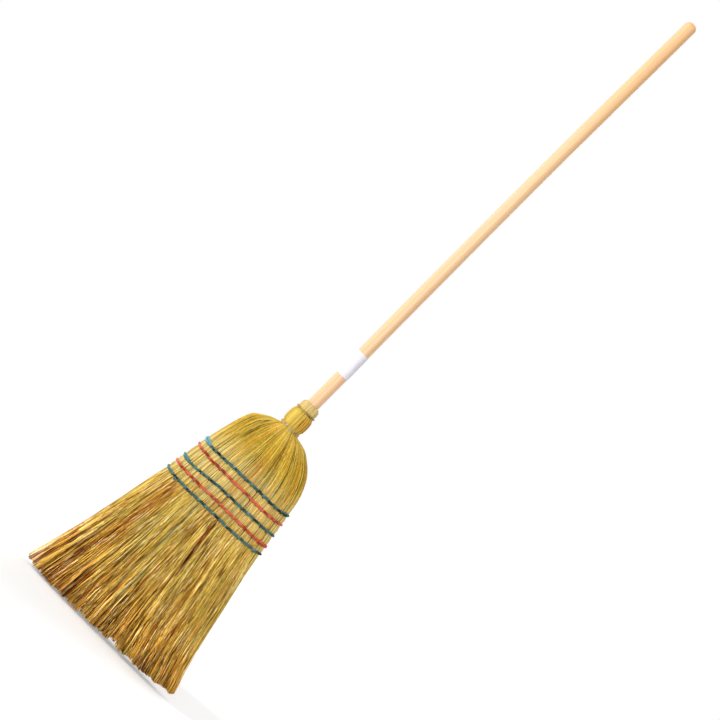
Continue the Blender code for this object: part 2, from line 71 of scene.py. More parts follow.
makeCamera(cameraValues)
print("camera ready")


# Shader values can be written as plain sums: each operator adds its Math node.
def mathsOperator(operation, swapped=False):
    def apply(value, other):
        first, second = (other, value) if swapped else (value, other)
        return value.maths(operation, first, second)

    return apply


class SocketValue:
    def __init__(self, surface, socket):
        self.surface = surface
        self.socket = socket

    def maths(self, operation, first, second):
        return self.surface.add("ShaderNodeMath", {0: first, 1: second}, operation=operation)

    def atLeast(self, least):
        return self.maths("MAXIMUM", self, least)

    __add__ = __radd__ = mathsOperator("ADD")
    __mul__ = __rmul__ = mathsOperator("MULTIPLY")
    __sub__ = mathsOperator("SUBTRACT")
    __rsub__ = mathsOperator("SUBTRACT", swapped=True)
    __truediv__ = mathsOperator("DIVIDE")
    __rtruediv__ = mathsOperator("DIVIDE", swapped=True)


class Surface:
    def __init__(self, name):
        self.material = bpy.data.materials.new(name)
        self.material.use_nodes = True
        self.tree = self.material.node_tree
        self.tree.nodes.clear()

    def add(self, kind, inputs=None, output=0, **settings):
        # its settings first, then the values or links of its sockets
        node = self.tree.nodes.new(kind)
        for name, value in settings.items():
            if name == "stops":
                self.setStops(node.color_ramp.elements, value)
            else:
                setattr(node, name, value)
        for name, value in (inputs or {}).items():
            if isinstance(value, SocketValue):
                self.tree.links.new(value.socket, node.inputs[name])
            else:
                node.inputs[name].default_value = value
        return SocketValue(self, node.outputs[output]) if node.outputs else node

    def setStops(self, elements, stops):
        # stops: place along the ramp, and the screen colour there
        while len(elements) < len(stops):
            elements.new(1.0)
        for element, (place, colour) in zip(elements, stops):
            element.position = place
            element.color = painted(colour)

    def ramp(self, share, stops):
        return self.add("ShaderNodeValToRGB", {"Fac": share}, stops=stops)

    def mixed(self, share, first, second, blend="MIX"):
        settings = {"data_type": "RGBA", "blend_type": blend, "clamp_factor": True}
        return self.add("ShaderNodeMix", {0: share, 6: first, 7: second}, 2, **settings)

    def scaled(self, colour, amount):
        return self.add("ShaderNodeVectorMath", {0: colour, 3: amount}, operation="SCALE")

    def noise(self, place, scale, detail=2.0, roughness=0.5):
        inputs = {"Vector": place, "Scale": scale, "Detail": detail, "Roughness": roughness}
        return self.add("ShaderNodeTexNoise", inputs)

    def here(self, along=1.0):
        # the place on the broom; a small share draws a pattern out along the height
        place = self.add("ShaderNodeTexCoord", output=3)
        return self.add("ShaderNodeMapping", {"Vector": place, "Scale": (1.0, 1.0, along)})

    def part(self, place, axis):
        return self.add("ShaderNodeSeparateXYZ", {0: place}, axis)

    def threshold(self, value, low, high):
        inputs = {"Value": value, "From Min": low, "From Max": high}
        return self.add("ShaderNodeMapRange", inputs, interpolation_type="SMOOTHSTEP")

    def carried(self, name):
        # a value that the mesh carries point by point
        return self.add("ShaderNodeAttribute", output=2, attribute_name=name, attribute_type="GEOMETRY")

    def raised(self, height, strength, distance):
        inputs = {"Height": height, "Strength": strength, "Distance": distance}
        return self.add("ShaderNodeBump", inputs)

    def finish(self, **inputs):
        named = {name.replace("_", " "): value for name, value in inputs.items()}
        shader = self.add("ShaderNodeBsdfPrincipled", named)
        self.add("ShaderNodeOutputMaterial", {"Surface": shader})
        return self.material


def painted(colour):
    # a colour picked on a screen, as the light it stands for
    channels = [value / 255 for value in colour]
    light = [v / 12.92 if v <= 0.04045 else ((v + 0.055) / 1.055) ** 2.4 for v in channels]
    return (*light, 1.0)


# Room and light
roomValues = {
    "floorWidth": 7.0,
    "floorColour": (0.86, 0.86, 0.86, 1.0),
    "floorGrain": (0.85, 0.85, 0.85, 1.0),
    "floorGlow": 0.32,  # what the camera sees added, so that the lit floor is white
    "skyStrength": 0.38,
    "white": (1.0, 1.0, 1.0, 1.0),
    "suns": (
        # name, where the light comes from, how wide it is in degrees, strength
        ("keySun", (-3.2, -2.5, 1.7), 9.0, 1.70),
        ("frontSun", (-0.2, -3.6, 0.7), 40.0, 1.12),
        ("edgeSun", (-3.6, 1.1, 1.2), 25.0, 0.80),
        ("backSun", (1.4, 3.2, 1.8), 45.0, 1.35),
    ),
}


def seenRays(tree):
    # 1 for rays that the camera, gloss or glass sends out, 0 for all others
    rays = tree.nodes.new("ShaderNodeLightPath")
    last = rays.outputs["Is Camera Ray"]
    for kind in ("Is Glossy Ray", "Is Transmission Ray"):
        most = tree.nodes.new("ShaderNodeMath")
        most.operation = "MAXIMUM"
        tree.links.new(last, most.inputs[0])
        tree.links.new(rays.outputs[kind], most.inputs[1])
        last = most.outputs[0]
    return last


def makeFloor(values):
    half = values["floorWidth"] / 2
    mesh = bpy.data.meshes.new("studioFloor")
    corners = [(-half, -half, 0), (half, -half, 0), (half, half, 0), (-half, half, 0)]
    mesh.from_pydata(corners, [], [(0, 1, 2, 3)])
    floor = bpy.data.objects.new("studioFloor", mesh)
    scene.collection.objects.link(floor)
    surface = Surface("floorWhite")
    grain = surface.noise(surface.here(), 40.0)
    colour = surface.mixed(grain, values["floorColour"], values["floorGrain"])
    matt = surface.add("ShaderNodeBsdfDiffuse", {"Color": colour})
    light = {"Color": values["white"], "Strength": values["floorGlow"]}
    glow = surface.add("ShaderNodeEmission", light)
    both = surface.add("ShaderNodeAddShader", {0: matt, 1: glow})
    seen = SocketValue(surface, seenRays(surface.tree))
    shown = surface.add("ShaderNodeMixShader", {0: seen, 1: matt, 2: both})
    surface.add("ShaderNodeOutputMaterial", {"Surface": shown})
    mesh.materials.append(surface.material)


def makeSky(values):
    world = bpy.data.worlds.new("softSky")
    scene.world = world
    world.use_nodes = True
    nodes, links = world.node_tree.nodes, world.node_tree.links
    nodes.clear()
    either = nodes.new("ShaderNodeMixShader")
    links.new(seenRays(world.node_tree), either.inputs[0])
    for place, strength in ((1, values["skyStrength"]), (2, 1.0)):
        glow = nodes.new("ShaderNodeBackground")
        glow.inputs["Color"].default_value = values["white"]
        glow.inputs["Strength"].default_value = strength
        links.new(glow.outputs[0], either.inputs[place])
    out = nodes.new("ShaderNodeOutputWorld")
    links.new(either.outputs[0], out.inputs["Surface"])


def makeSuns(values):
    for name, place, width, strength in values["suns"]:
        data = bpy.data.lights.new(name, "SUN")
        data.angle = math.radians(width)
        data.energy = strength
        lamp = bpy.data.objects.new(name, data)
        scene.collection.objects.link(lamp)
        lamp.location = place
        lamp.rotation_euler = Vector(place).to_track_quat("Z", "Y").to_euler()


scene.view_settings.view_transform = "Standard"
makeFloor(roomValues)
makeSky(roomValues)
makeSuns(roomValues)
print("room and light ready")


# Straw head. Sections from the floor up: height, left edge, right edge, half depth and
# bluntness of the oval. The neck above them is round.
headValues = {
    "sections": (
        (0.0000, -0.1795, 0.1830, 0.0360, 2.3),
        (0.0240, -0.1742, 0.1784, 0.0345, 2.3),
        (0.0590, -0.1645, 0.1661, 0.0325, 2.3),
        (0.0950, -0.1552, 0.1564, 0.0305, 2.3),
        (0.1300, -0.1469, 0.1481, 0.0287, 2.3),
        (0.1650, -0.1398, 0.1405, 0.0270, 2.3),
        (0.2000, -0.1319, 0.1326, 0.0252, 2.3),
        (0.2360, -0.1248, 0.1241, 0.0233, 2.3),
        (0.2710, -0.1178, 0.1163, 0.0208, 2.3),
        (0.2960, -0.1120, 0.1120, 0.0190, 2.3),
        (0.3133, -0.1092, 0.1092, 0.0190, 2.3),
        (0.3331, -0.1059, 0.1059, 0.0190, 2.3),
        (0.3612, -0.1013, 0.1013, 0.0190, 2.3),
        (0.3785, -0.0985, 0.0985, 0.0190, 2.3),
        (0.4120, -0.0913, 0.0929, 0.0228, 2.255),
        (0.4380, -0.0852, 0.0836, 0.0272, 2.18),
        (0.4521, -0.0806, 0.0753, 0.0290, 2.126),
        (0.4650, -0.0747, 0.0638, 0.0283, 2.075),
        (0.4740, -0.0628, 0.0529, 0.0266, 2.036),
        (0.4826, -0.0494, 0.0400, 0.0239, 2.012),
    ),
    "neckMiddle": -0.0083,
    "neck": (
        # height and radius
        (0.4911, 0.0202), (0.4969, 0.0202), (0.5029, 0.0228), (0.5137, 0.0234), (0.5239, 0.0223),
        (0.5306, 0.0188), (0.5354, 0.0188), (0.5427, 0.0190), (0.5500, 0.0179),
    ),
    "flatBluntness": 2.3,
    "rows": (0.3785, 0.3612, 0.3331, 0.3133, 0.2960),
    # How the rows run over the front: share from the left edge to the right, and rise in mm
    "rowPlaces": (-1.0, -0.8, -0.6, -0.35, 0.0, 0.35, 0.6, 0.8, 1.0),
    "rowWaves": (
        (-3.4, -5.8, -5.6, -4.6, -3.4, -2.6, -2.4, -1.4, 1.4),
        (-1.2, -4.0, -5.2, -5.0, -4.2, -4.6, -3.8, -2.8, -0.6),
        (-5.0, -6.4, -5.0, -1.6, 0.4, 1.2, 2.2, 3.2, 4.2),
        (-0.6, -2.0, -2.6, -2.0, -1.4, -1.0, -1.4, -1.2, -0.4),
        (-2.2, -5.6, -6.2, -5.6, -4.2, -3.4, -2.6, -1.0, 2.0),
    ),
    "backSag": 3.0,
    "rowFade": (0.250, 0.432),  # heights at which the straw no longer follows the rows
    "quiltMargin": 0.012,  # how far the quilting reaches past the first and the last row
    "pillow": 1.7,
    "pillowBluntness": 0.7,
    "outerPillow": 0.45,  # share of the pillow outside the first and the last row
    "pinch": 0.9,
    "pinchReach": 2.4,
    "stitchColumns": 14,
    "sewnHalf": 0.105,  # half the mean width of the sewn part
    "pleat": 0.55,
    "pleatReach": 1.9,
    "pleatFade": (0.004, 0.012),  # where a pleat starts to fade, and over what length
    "corner": 0.122,  # where a shoulder bundle meets a cover, as a share of the way round
    "wedge": 0.62,  # share of the width that the front and back bundles cover
    "neckFoot": 0.4911,  # from here the straw fans out
    "fan": 1.5,
    "fanSide": 1.6,
}

# How the free straw spreads: share of the width at the last row, and at the floor
spreadValues = {
    "root": (-1.0, -0.29, 0.0, 0.14, 0.29, 1.0),
    "tip": (-1.0, -0.225, 0.10, 0.32, 0.47, 1.0),
    "bottomPlaces": (-0.179, -0.168, -0.150, -0.065, -0.020, 0.020, 0.085, 0.135, 0.160, 0.176, 0.185),
    "bottomHeights": (0.0070, 0.0025, 0.0, 0.0, 0.0018, 0.0032, 0.0045, 0.0058, 0.0080, 0.0115, 0.0150),
}


def smoothLine(places, values):
    # a smooth line through the values that never swings past them
    places = np.array(places, float)
    values = np.array(values, float).reshape(len(places), -1)
    step = np.diff(places)
    slope = np.diff(values, axis=0) / step[:, None]
    before, after = slope[:-1], slope[1:]
    same = before * after > 0
    bend = np.zeros_like(values)
    bend[1:-1] = np.where(same, 2 * before * after / np.where(same, before + after, 1), 0)
    bend[0], bend[-1] = slope[0], slope[-1]

    def at(place):
        place = np.clip(np.asarray(place, float), places[0], places[-1])
        k = np.clip(np.searchsorted(places, place, side="right") - 1, 0, len(step) - 1)
        width = step[k][..., None]
        u = ((place - places[k])[..., None]) / width
        low, high = values[k], values[k + 1]
        return (
            low * (1 + 2 * u) * (1 - u) ** 2
            + bend[k] * width * u * (1 - u) ** 2
            + high * u * u * (3 - 2 * u)
            - bend[k + 1] * width * u * u * (1 - u)
        )

    return at


neckSections = [
    (height, headValues["neckMiddle"] - radius, headValues["neckMiddle"] + radius, radius, 2.0)
    for height, radius in headValues["neck"]
]
sections = [*headValues["sections"], *neckSections]
sectionAt = smoothLine([section[0] for section in sections], [section[1:] for section in sections])
rowWaveAt = smoothLine(headValues["rowPlaces"], np.array(headValues["rowWaves"]).T)
tipShareAt = smoothLine(spreadValues["root"], spreadValues["tip"])
bottomAt = smoothLine(spreadValues["bottomPlaces"], spreadValues["bottomHeights"])
rows = np.array(headValues["rows"])
lastRow = headValues["rows"][-1]


def outlineAt(height):
    # middle, half width, half depth and bluntness of the oval at these heights
    left, right, depth, bluntness = np.moveaxis(sectionAt(height), -1, 0)
    return (left + right) / 2, (right - left) / 2, depth, bluntness


def ovalShares(angle, bluntness):
    sides = np.cos(angle), np.sin(angle)
    return [np.sign(side) * np.abs(side) ** (2 / bluntness) for side in sides]


def ovalDepth(share, bluntness):
    # how deep the oval is at a share of its half width
    return (1 - np.abs(share) ** bluntness) ** (1 / bluntness)


def lengthsAlong(path):
    steps = np.linalg.norm(np.diff(path, axis=0), axis=1)
    return np.concatenate([[0], np.cumsum(steps)])


def makeFlatTurns():
    # angles that stand evenly apart round the flat part of the head
    _, half, depth, bluntness = outlineAt(rows[2])
    angles = np.linspace(0, 2 * math.pi, 4001)
    across, deep = ovalShares(angles, bluntness)
    lengths = lengthsAlong(np.stack([across * half, deep * depth], axis=-1))
    return lengths / lengths[-1], angles


flatTurns, flatAngles = makeFlatTurns()


def smoothStep(share):
    return share * share * (3 - 2 * share)


def fadeAt(base):
    low, high = headValues["rowFade"]
    up = np.clip((high - base) / (high - rows[0]), 0, 1)
    down = np.clip((base - low) / (rows[-1] - low), 0, 1)
    return smoothStep(np.minimum(up, down))


def rowRise(across, front, base):
    # how far the rows' own waves move the straw that lies under them up or down
    edges = rowWaveAt(np.array([-1.0, 1.0]))
    side = (across[..., None] + 1) / 2
    back = edges[0] + (edges[1] - edges[0]) * side
    back = back - headValues["backSag"] * (1 - across[..., None] ** 2)
    waves = np.where(front[..., None], rowWaveAt(across), back)
    inside = np.clip(base, rows[-1], rows[0])
    total = np.zeros(np.broadcast(across, base).shape)
    for k in range(len(rows)):
        tooth = np.interp(inside, rows[::-1], np.eye(len(rows))[k][::-1])
        total = total + tooth * waves[..., k]
    return total * fadeAt(base) * millimetre


def stitchColumn(across):
    # which column of stitches lies here, and how far off the nearest one is
    columns = headValues["stitchColumns"]
    column = across * columns / 2
    return column, np.abs(column - np.round(column)) * 2 / columns * headValues["sewnHalf"]


def quilting(across, base):
    # full between the rows, pinched at them, and pleated where the stitches pull
    margin = headValues["quiltMargin"]
    ends = np.concatenate([[rows[0] + margin], rows, [rows[-1] - margin]])
    k = np.clip(np.searchsorted(-ends, -base) - 1, 0, len(ends) - 2)
    share = np.clip((ends[k] - base) / (ends[k] - ends[k + 1]), 0, 1)
    fullness = np.sin(math.pi * share) ** headValues["pillowBluntness"]
    inBand = (base < ends[0]) & (base > ends[-1])
    outer = (k == 0) | (k == len(ends) - 2)
    fullness = fullness * np.where(outer, headValues["outerPillow"], 1)
    lift = headValues["pillow"] * np.where(inBand, fullness, 0)
    nearest = np.min(np.abs(base[..., None] - rows), axis=-1)
    grip = np.exp(-((nearest / (headValues["pinchReach"] * millimetre)) ** 2))
    fold = np.exp(-((stitchColumn(across)[1] / (headValues["pleatReach"] * millimetre)) ** 2))
    start, length = headValues["pleatFade"]
    fold = fold * np.clip(1 - (nearest - start) / length, 0, 1) * np.where(inBand, 1, 0.0)
    lift = lift * (1 - 0.5 * across**8)
    return (lift - headValues["pinch"] * grip - headValues["pleat"] * fold) * millimetre, fold


def fanShares(turn, base):
    # the share of the width at which a straw lies, from the round neck to the flat sewn part
    turn = turn % 1.0
    neckAcross, neckDeep = ovalShares(2 * math.pi * turn, 2.0)
    flatAngle = np.interp(turn, flatTurns, flatAngles)
    bandAcross = ovalShares(flatAngle, headValues["flatBluntness"])[0]
    neckFoot = headValues["neckFoot"]
    top, foot = sectionAt(neckFoot), sectionAt(rows[0])
    left, right, _, bluntness = np.moveaxis(sectionAt(base), -1, 0)
    start = (top[0] + top[1]) / 2 + (top[1] - top[0]) / 2 * neckAcross
    end = (foot[0] + foot[1]) / 2 + (foot[1] - foot[0]) / 2 * bandAcross
    fall = np.clip((neckFoot - base) / (neckFoot - rows[0]), 0, 1)
    inner = 1 - (1 - fall) ** headValues["fan"]
    leftEdge = (left - top[0]) / (foot[0] - top[0])
    rightEdge = (right - top[1]) / (foot[1] - top[1])
    outer = np.where(bandAcross < 0, leftEdge, rightEdge)
    share = inner + (outer - inner) * np.abs(bandAcross) ** headValues["fanSide"]
    x = start + (end - start) * share
    across = np.clip((2 * x - left - right) / (right - left), -1, 1)
    across = np.where(base >= neckFoot, neckAcross, across)
    across = np.where(base <= rows[0], bandAcross, across)
    return across, np.sign(neckDeep) * ovalDepth(across, bluntness)


def headPoints(turn, base, out):
    # turn: share of the way round, from the right edge over the back; base: height before
    # the rows' waves; out: metres outside the outline
    across, deep = fanShares(turn, base)
    height = base + rowRise(across, deep < 0, base)
    middle, half, depth, bluntness = outlineAt(height)
    lift, fold = quilting(across, base)
    normalX = np.sign(across) * np.abs(across) ** (bluntness - 1) / half
    normalY = np.sign(deep) * np.abs(deep) ** (bluntness - 1) / depth
    size = np.hypot(normalX, normalY)
    normalX, normalY = normalX / size, normalY / size
    x = middle + half * across + normalX * (out + lift)
    y = depth * deep + normalY * (out + lift)
    points = np.stack([x, y, height + 0 * x], axis=-1)
    return points, np.stack([normalX, normalY, 0 * normalX], axis=-1), across, fold


print("head outline ready")


def unit(vectors):
    return vectors / np.maximum(np.linalg.norm(vectors, axis=-1, keepdims=True), 1e-12)


def smoothMesh(name, points, faces):
    mesh = bpy.data.meshes.new(name)
    mesh.from_pydata(points, [], faces)
    mesh.polygons.foreach_set("use_smooth", np.ones(len(faces), bool))
    mesh.update()
    return mesh


def placePiece(name, mesh, slot, material, *nodes):
    mesh.materials.append(material)
    piece = bpy.data.objects.new(name, mesh)
    scene.collection.objects.link(piece)
    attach(piece, "root")
    if nodes:
        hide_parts(*nodes)
    print(name, "made,", len(mesh.polygons), "faces")


# A bunch gathers strands as tubes: one piece of the broom in the end.
stripColumns = 8  # strips side by side in the bake map


class Bunch:
    def __init__(self, name):
        self.name = name
        self.points, self.corners, self.sizes, self.cut, self.places = [], [], [], [], []
        self.carried = {"strawTone": [], "strawHue": [], "strawShade": []}
        self.count = 0
        self.strands = 0

    def strand(self, centre, out, radius, tone, hue, shade, sides=4):
        count, steps = radius.shape
        ahead = np.empty_like(centre)
        ahead[:, 1:-1] = centre[:, 2:] - centre[:, :-2]
        ahead[:, 0] = centre[:, 1] - centre[:, 0]
        ahead[:, -1] = centre[:, -1] - centre[:, -2]
        side = unit(np.cross(unit(ahead), out))
        face = np.cross(side, unit(ahead))
        angles = 2 * math.pi * (np.arange(sides)[:, None] + 0.5) / sides
        ring = np.cos(angles) * side[:, :, None] + np.sin(angles) * face[:, :, None]
        points = centre[:, :, None] + radius[:, :, None, None] * ring
        index = self.count + np.arange(count * steps * sides).reshape(count, steps, sides)
        around = np.roll(index, -1, axis=2)
        walls = np.stack([index[:, :-1], index[:, 1:], around[:, 1:], around[:, :-1]], axis=-1)
        self.points.append(points.reshape(-1, 3))
        self.addFaces(walls.reshape(-1, 4), False)
        self.addFaces(index[:, 0], True)
        self.addFaces(index[:, -1, ::-1], True)
        self.addStrips(count, steps, sides)
        for name, value in zip(self.carried, (tone, hue, shade)):
            spread = np.broadcast_to(value, (count, steps))[:, :, None]
            self.carried[name].append(np.broadcast_to(spread, (count, steps, sides)).ravel())
        self.count += count * steps * sides
        self.strands += count

    def single(self, path, out, radius, tone=0.0, hue=0.0, sides=5):
        # one strand along a line of points
        radius = np.broadcast_to(radius, (1, len(path)))
        self.strand(path[None], out[None], radius, tone, hue, 0.0, sides)

    def addFaces(self, faces, cut):
        self.corners.append(faces.ravel())
        self.sizes.append(np.full(len(faces), faces.shape[1]))
        self.cut.append(np.full(len(faces), cut))

    def addStrips(self, count, steps, sides):
        # each strand's own strip of the bake map: its walls fill most of
        # it, and its cut ends lie at both sides of them
        strand = self.strands + np.arange(count)
        u = 0.03 + 0.94 * np.arange(steps) / (steps - 1)
        v = 0.1 + 0.8 * np.arange(sides + 1) / sides
        j, k = np.meshgrid(np.arange(steps - 1), np.arange(sides), indexing="ij")
        corners = [(j, k), (j + 1, k), (j + 1, k + 1), (j, k + 1)]
        walls = np.stack([np.stack([u[a], v[b]], -1) for a, b in corners], axis=2)
        turn = 2 * math.pi * np.arange(sides) / sides
        start, end = (
            np.stack([middle + 0.01 * np.cos(turn), 0.5 + 0.4 * np.sin(turn)], -1)
            for middle in (0.012, 0.988)
        )
        for part in (walls.reshape(-1, 2), start, end):
            whole = np.broadcast_to(part, (count, *part.shape)).copy()
            whole[:, :, 0] = whole[:, :, 0] + (strand % stripColumns)[:, None]
            whole[:, :, 1] = whole[:, :, 1] + (strand // stripColumns)[:, None]
            self.places.append(whole.reshape(-1, 2))

    def make(self, material, slot, *nodes):
        mesh = bpy.data.meshes.new(self.name)
        points, corners = np.concatenate(self.points), np.concatenate(self.corners)
        sizes = np.concatenate(self.sizes)
        mesh.vertices.add(len(points))
        mesh.vertices.foreach_set("co", points.astype(np.float32).ravel())
        mesh.loops.add(len(corners))
        mesh.loops.foreach_set("vertex_index", corners.astype(np.int32))
        mesh.polygons.add(len(sizes))
        starts = np.concatenate([[0], np.cumsum(sizes)[:-1]])
        mesh.polygons.foreach_set("loop_start", starts.astype(np.int32))
        mesh.polygons.foreach_set("use_smooth", ~np.concatenate(self.cut))
        carried = [(name, values, "POINT") for name, values in self.carried.items()]
        for name, values, kind in [*carried, ("strawCut", self.cut, "FACE")]:
            layer = mesh.attributes.new(name, "FLOAT", kind)
            layer.data.foreach_set("value", np.concatenate(values).astype(np.float32))
        places = np.concatenate(self.places)
        places = places / np.array([stripColumns, math.ceil(self.strands / stripColumns)])
        layer = mesh.uv_layers.new(name="OFBake")
        layer.data.foreach_set("uv", places.astype(np.float32).ravel())
        mesh.update(calc_edges=True)
        mesh.validate()
        placePiece(self.name, mesh, slot, material, *nodes)


# Straw material, the same nodes for every bundle
strawValues = {
    "hues": (
        # place, colour: grey-green, olive, bleached, pale straw, gold, amber, rust, brown
        (0.00, (172, 160, 120)),
        (0.14, (184, 169, 92)),
        (0.23, (210, 195, 122)),
        (0.32, (230, 212, 146)),
        (0.48, (219, 191, 104)),
        (0.66, (214, 168, 84)),
        (0.84, (182, 100, 42)),
        (1.00, (104, 54, 22)),
    ),
    "shadow": (58, 27, 2),
    "pith": (236, 214, 164),
    "fresh": (248, 231, 134),  # the yellow of the neck and shoulders
    "shoulder": (242, 238, 206),  # and a little less of it on the shoulders
    "ripe": (247, 238, 186),  # the gold of the free straw
    "dull": (255, 240, 226),  # and of the tips, which are also painted lighter
    "parted": (112, 58, 5),  # painted shade: the brown in the gaps between the straws
    "faded": (244, 223, 168),  # the palest straws
    "worn": (236, 206, 170),  # the bleached corner at the lower left
    "fan": 2.08,  # how the straws spread below the sewn part, a share for each metre
    "zones": {
        # heights from which and to which each grows
        "fresh": (0.37, 0.44),
        "shoulder": (0.482, 0.458),
        "collar": (0.531, 0.537),
        "ripe": (0.33, 0.27),
        "dull": (0.20, 0.02),
        "worn": (0.110, 0.030),
    },
    "wornAcross": (-0.150, -0.172),
    "patterns": {
        # noise that runs with the straws: scale, share of their length, start, detail, roughness
        "grain": (1500.0, 0.035, 0.0, 3.0, 0.6),
        "streak": (420.0, 0.035, 0.0, 2.0, 0.5),
        "knobs": (330.0, 0.060, 0.0, 2.0, 0.6),
        "scuffs": (720.0, 0.220, 0.0, 2.0, 0.6),
        "parting": (460.0, 0.040, 3.0, 2.0, 0.5),
        "bright": (460.0, 0.030, 7.0, 2.0, 0.5),
    },
    "partingEdge": (0.55, 0.64),
    "brightEdge": (0.54, 0.66),
    "spotEdge": (0.62, 0.74),
}


def strawSurface(name, values):
    surface = Surface(name)
    carried = ("strawTone", "strawHue", "strawShade", "strawCut")
    tone, hue, shade, cut = (surface.carried(kind) for kind in carried)
    here = surface.here()
    x, y, height = (surface.part(here, axis) for axis in range(3))
    fan = 1.0 + (lastRow - height).atLeast(0.0) * values["fan"]

    def pattern(kind):
        scale, along, start, detail, roughness = values["patterns"][kind]
        place = surface.add("ShaderNodeCombineXYZ", {0: x / fan, 1: y, 2: height * along + start})
        return surface.noise(place, scale, detail, roughness)

    grain, streak, knobs, scuffs = (pattern(kind) for kind in ("grain", "streak", "knobs", "scuffs"))
    # where painted shade darkens the gaps between the straws
    parting = surface.threshold(pattern("parting"), *values["partingEdge"])
    bright = surface.threshold(pattern("bright"), *values["brightEdge"])
    speck = surface.noise(surface.here(0.3), 260.0, 3.0, 0.6)
    spots = surface.threshold(speck, *values["spotEdge"])
    zone = {kind: surface.threshold(height, *reach) for kind, reach in values["zones"].items()}
    fresh, ripe, dull = zone["fresh"], zone["ripe"], zone["dull"]
    shoulder = fresh * zone["shoulder"]
    worn = zone["worn"] * surface.threshold(x, *values["wornAcross"])
    colour = surface.ramp(hue + (streak - 0.5) * 0.22, values["hues"])
    for kind, share, blend in (
        ("fresh", fresh * 0.75, "MULTIPLY"),
        ("shoulder", shoulder, "MULTIPLY"),
        ("pith", zone["collar"] * 0.45, "MIX"),
        ("ripe", ripe, "MULTIPLY"),
        ("dull", dull, "MULTIPLY"),
        ("faded", bright * ripe * 0.55, "MIX"),
        ("worn", worn * 0.8, "MIX"),
    ):
        colour = surface.mixed(share, colour, painted(values[kind]), blend)
    rough = (knobs - 0.5) * 0.60 + (scuffs - 0.5) * 1.1
    rough = rough * (0.62 - fresh * 0.20 + shoulder * 0.36 + ripe * 0.88)
    # painted light: the tips are made lighter as well
    level = 0.55 + tone * 0.88 + (grain - 0.5) * 0.6 + rough + dull * 0.58 - ripe * 0.03
    level = level + bright * ripe * (0.18 + dull * 0.15)
    colour = surface.scaled(colour, level)
    # painted shade: the gaps between the straws, the strands' own shade and dark spots; then the pith
    # of cut ends
    for kind, share in (
        ("parted", parting * (0.05 + shoulder * 0.24 + ripe * 0.74 + dull * 0.20)),
        ("shadow", shade * 0.85 + spots * 0.25),
        ("pith", cut * 0.75),
    ):
        colour = surface.mixed(share, colour, painted(values[kind]))
    return surface.finish(
        Base_Color=colour,
        Roughness=0.50 + grain * 0.22 + shade * 0.15,
        Specular_IOR_Level=0.08,
        Normal=surface.raised(grain + streak, 0.35, 0.0004),
    )


strawMaterials = {
    node: strawSurface(name, strawValues)
    for node, name in (
        ("front_cover_straw", "frontStraw"),
        ("back_cover_straw", "backStraw"),
        ("left_shoulder_straw", "leftStraw"),
        ("right_shoulder_straw", "rightStraw"),
        ("core_straw", "innerStraw"),
    )
}


def newBunches(ending):
    # one bunch for each straw node, named like frontCoverBundle
    made = {}
    for node in strawMaterials:
        first, *rest = node.replace("_straw", "").split("_")
        made[node] = Bunch(first + "".join(word.capitalize() for word in rest) + ending)
    return made


bundles, fibres = newBunches("Bundle"), newBunches("Fibres")
print("straw materials ready")

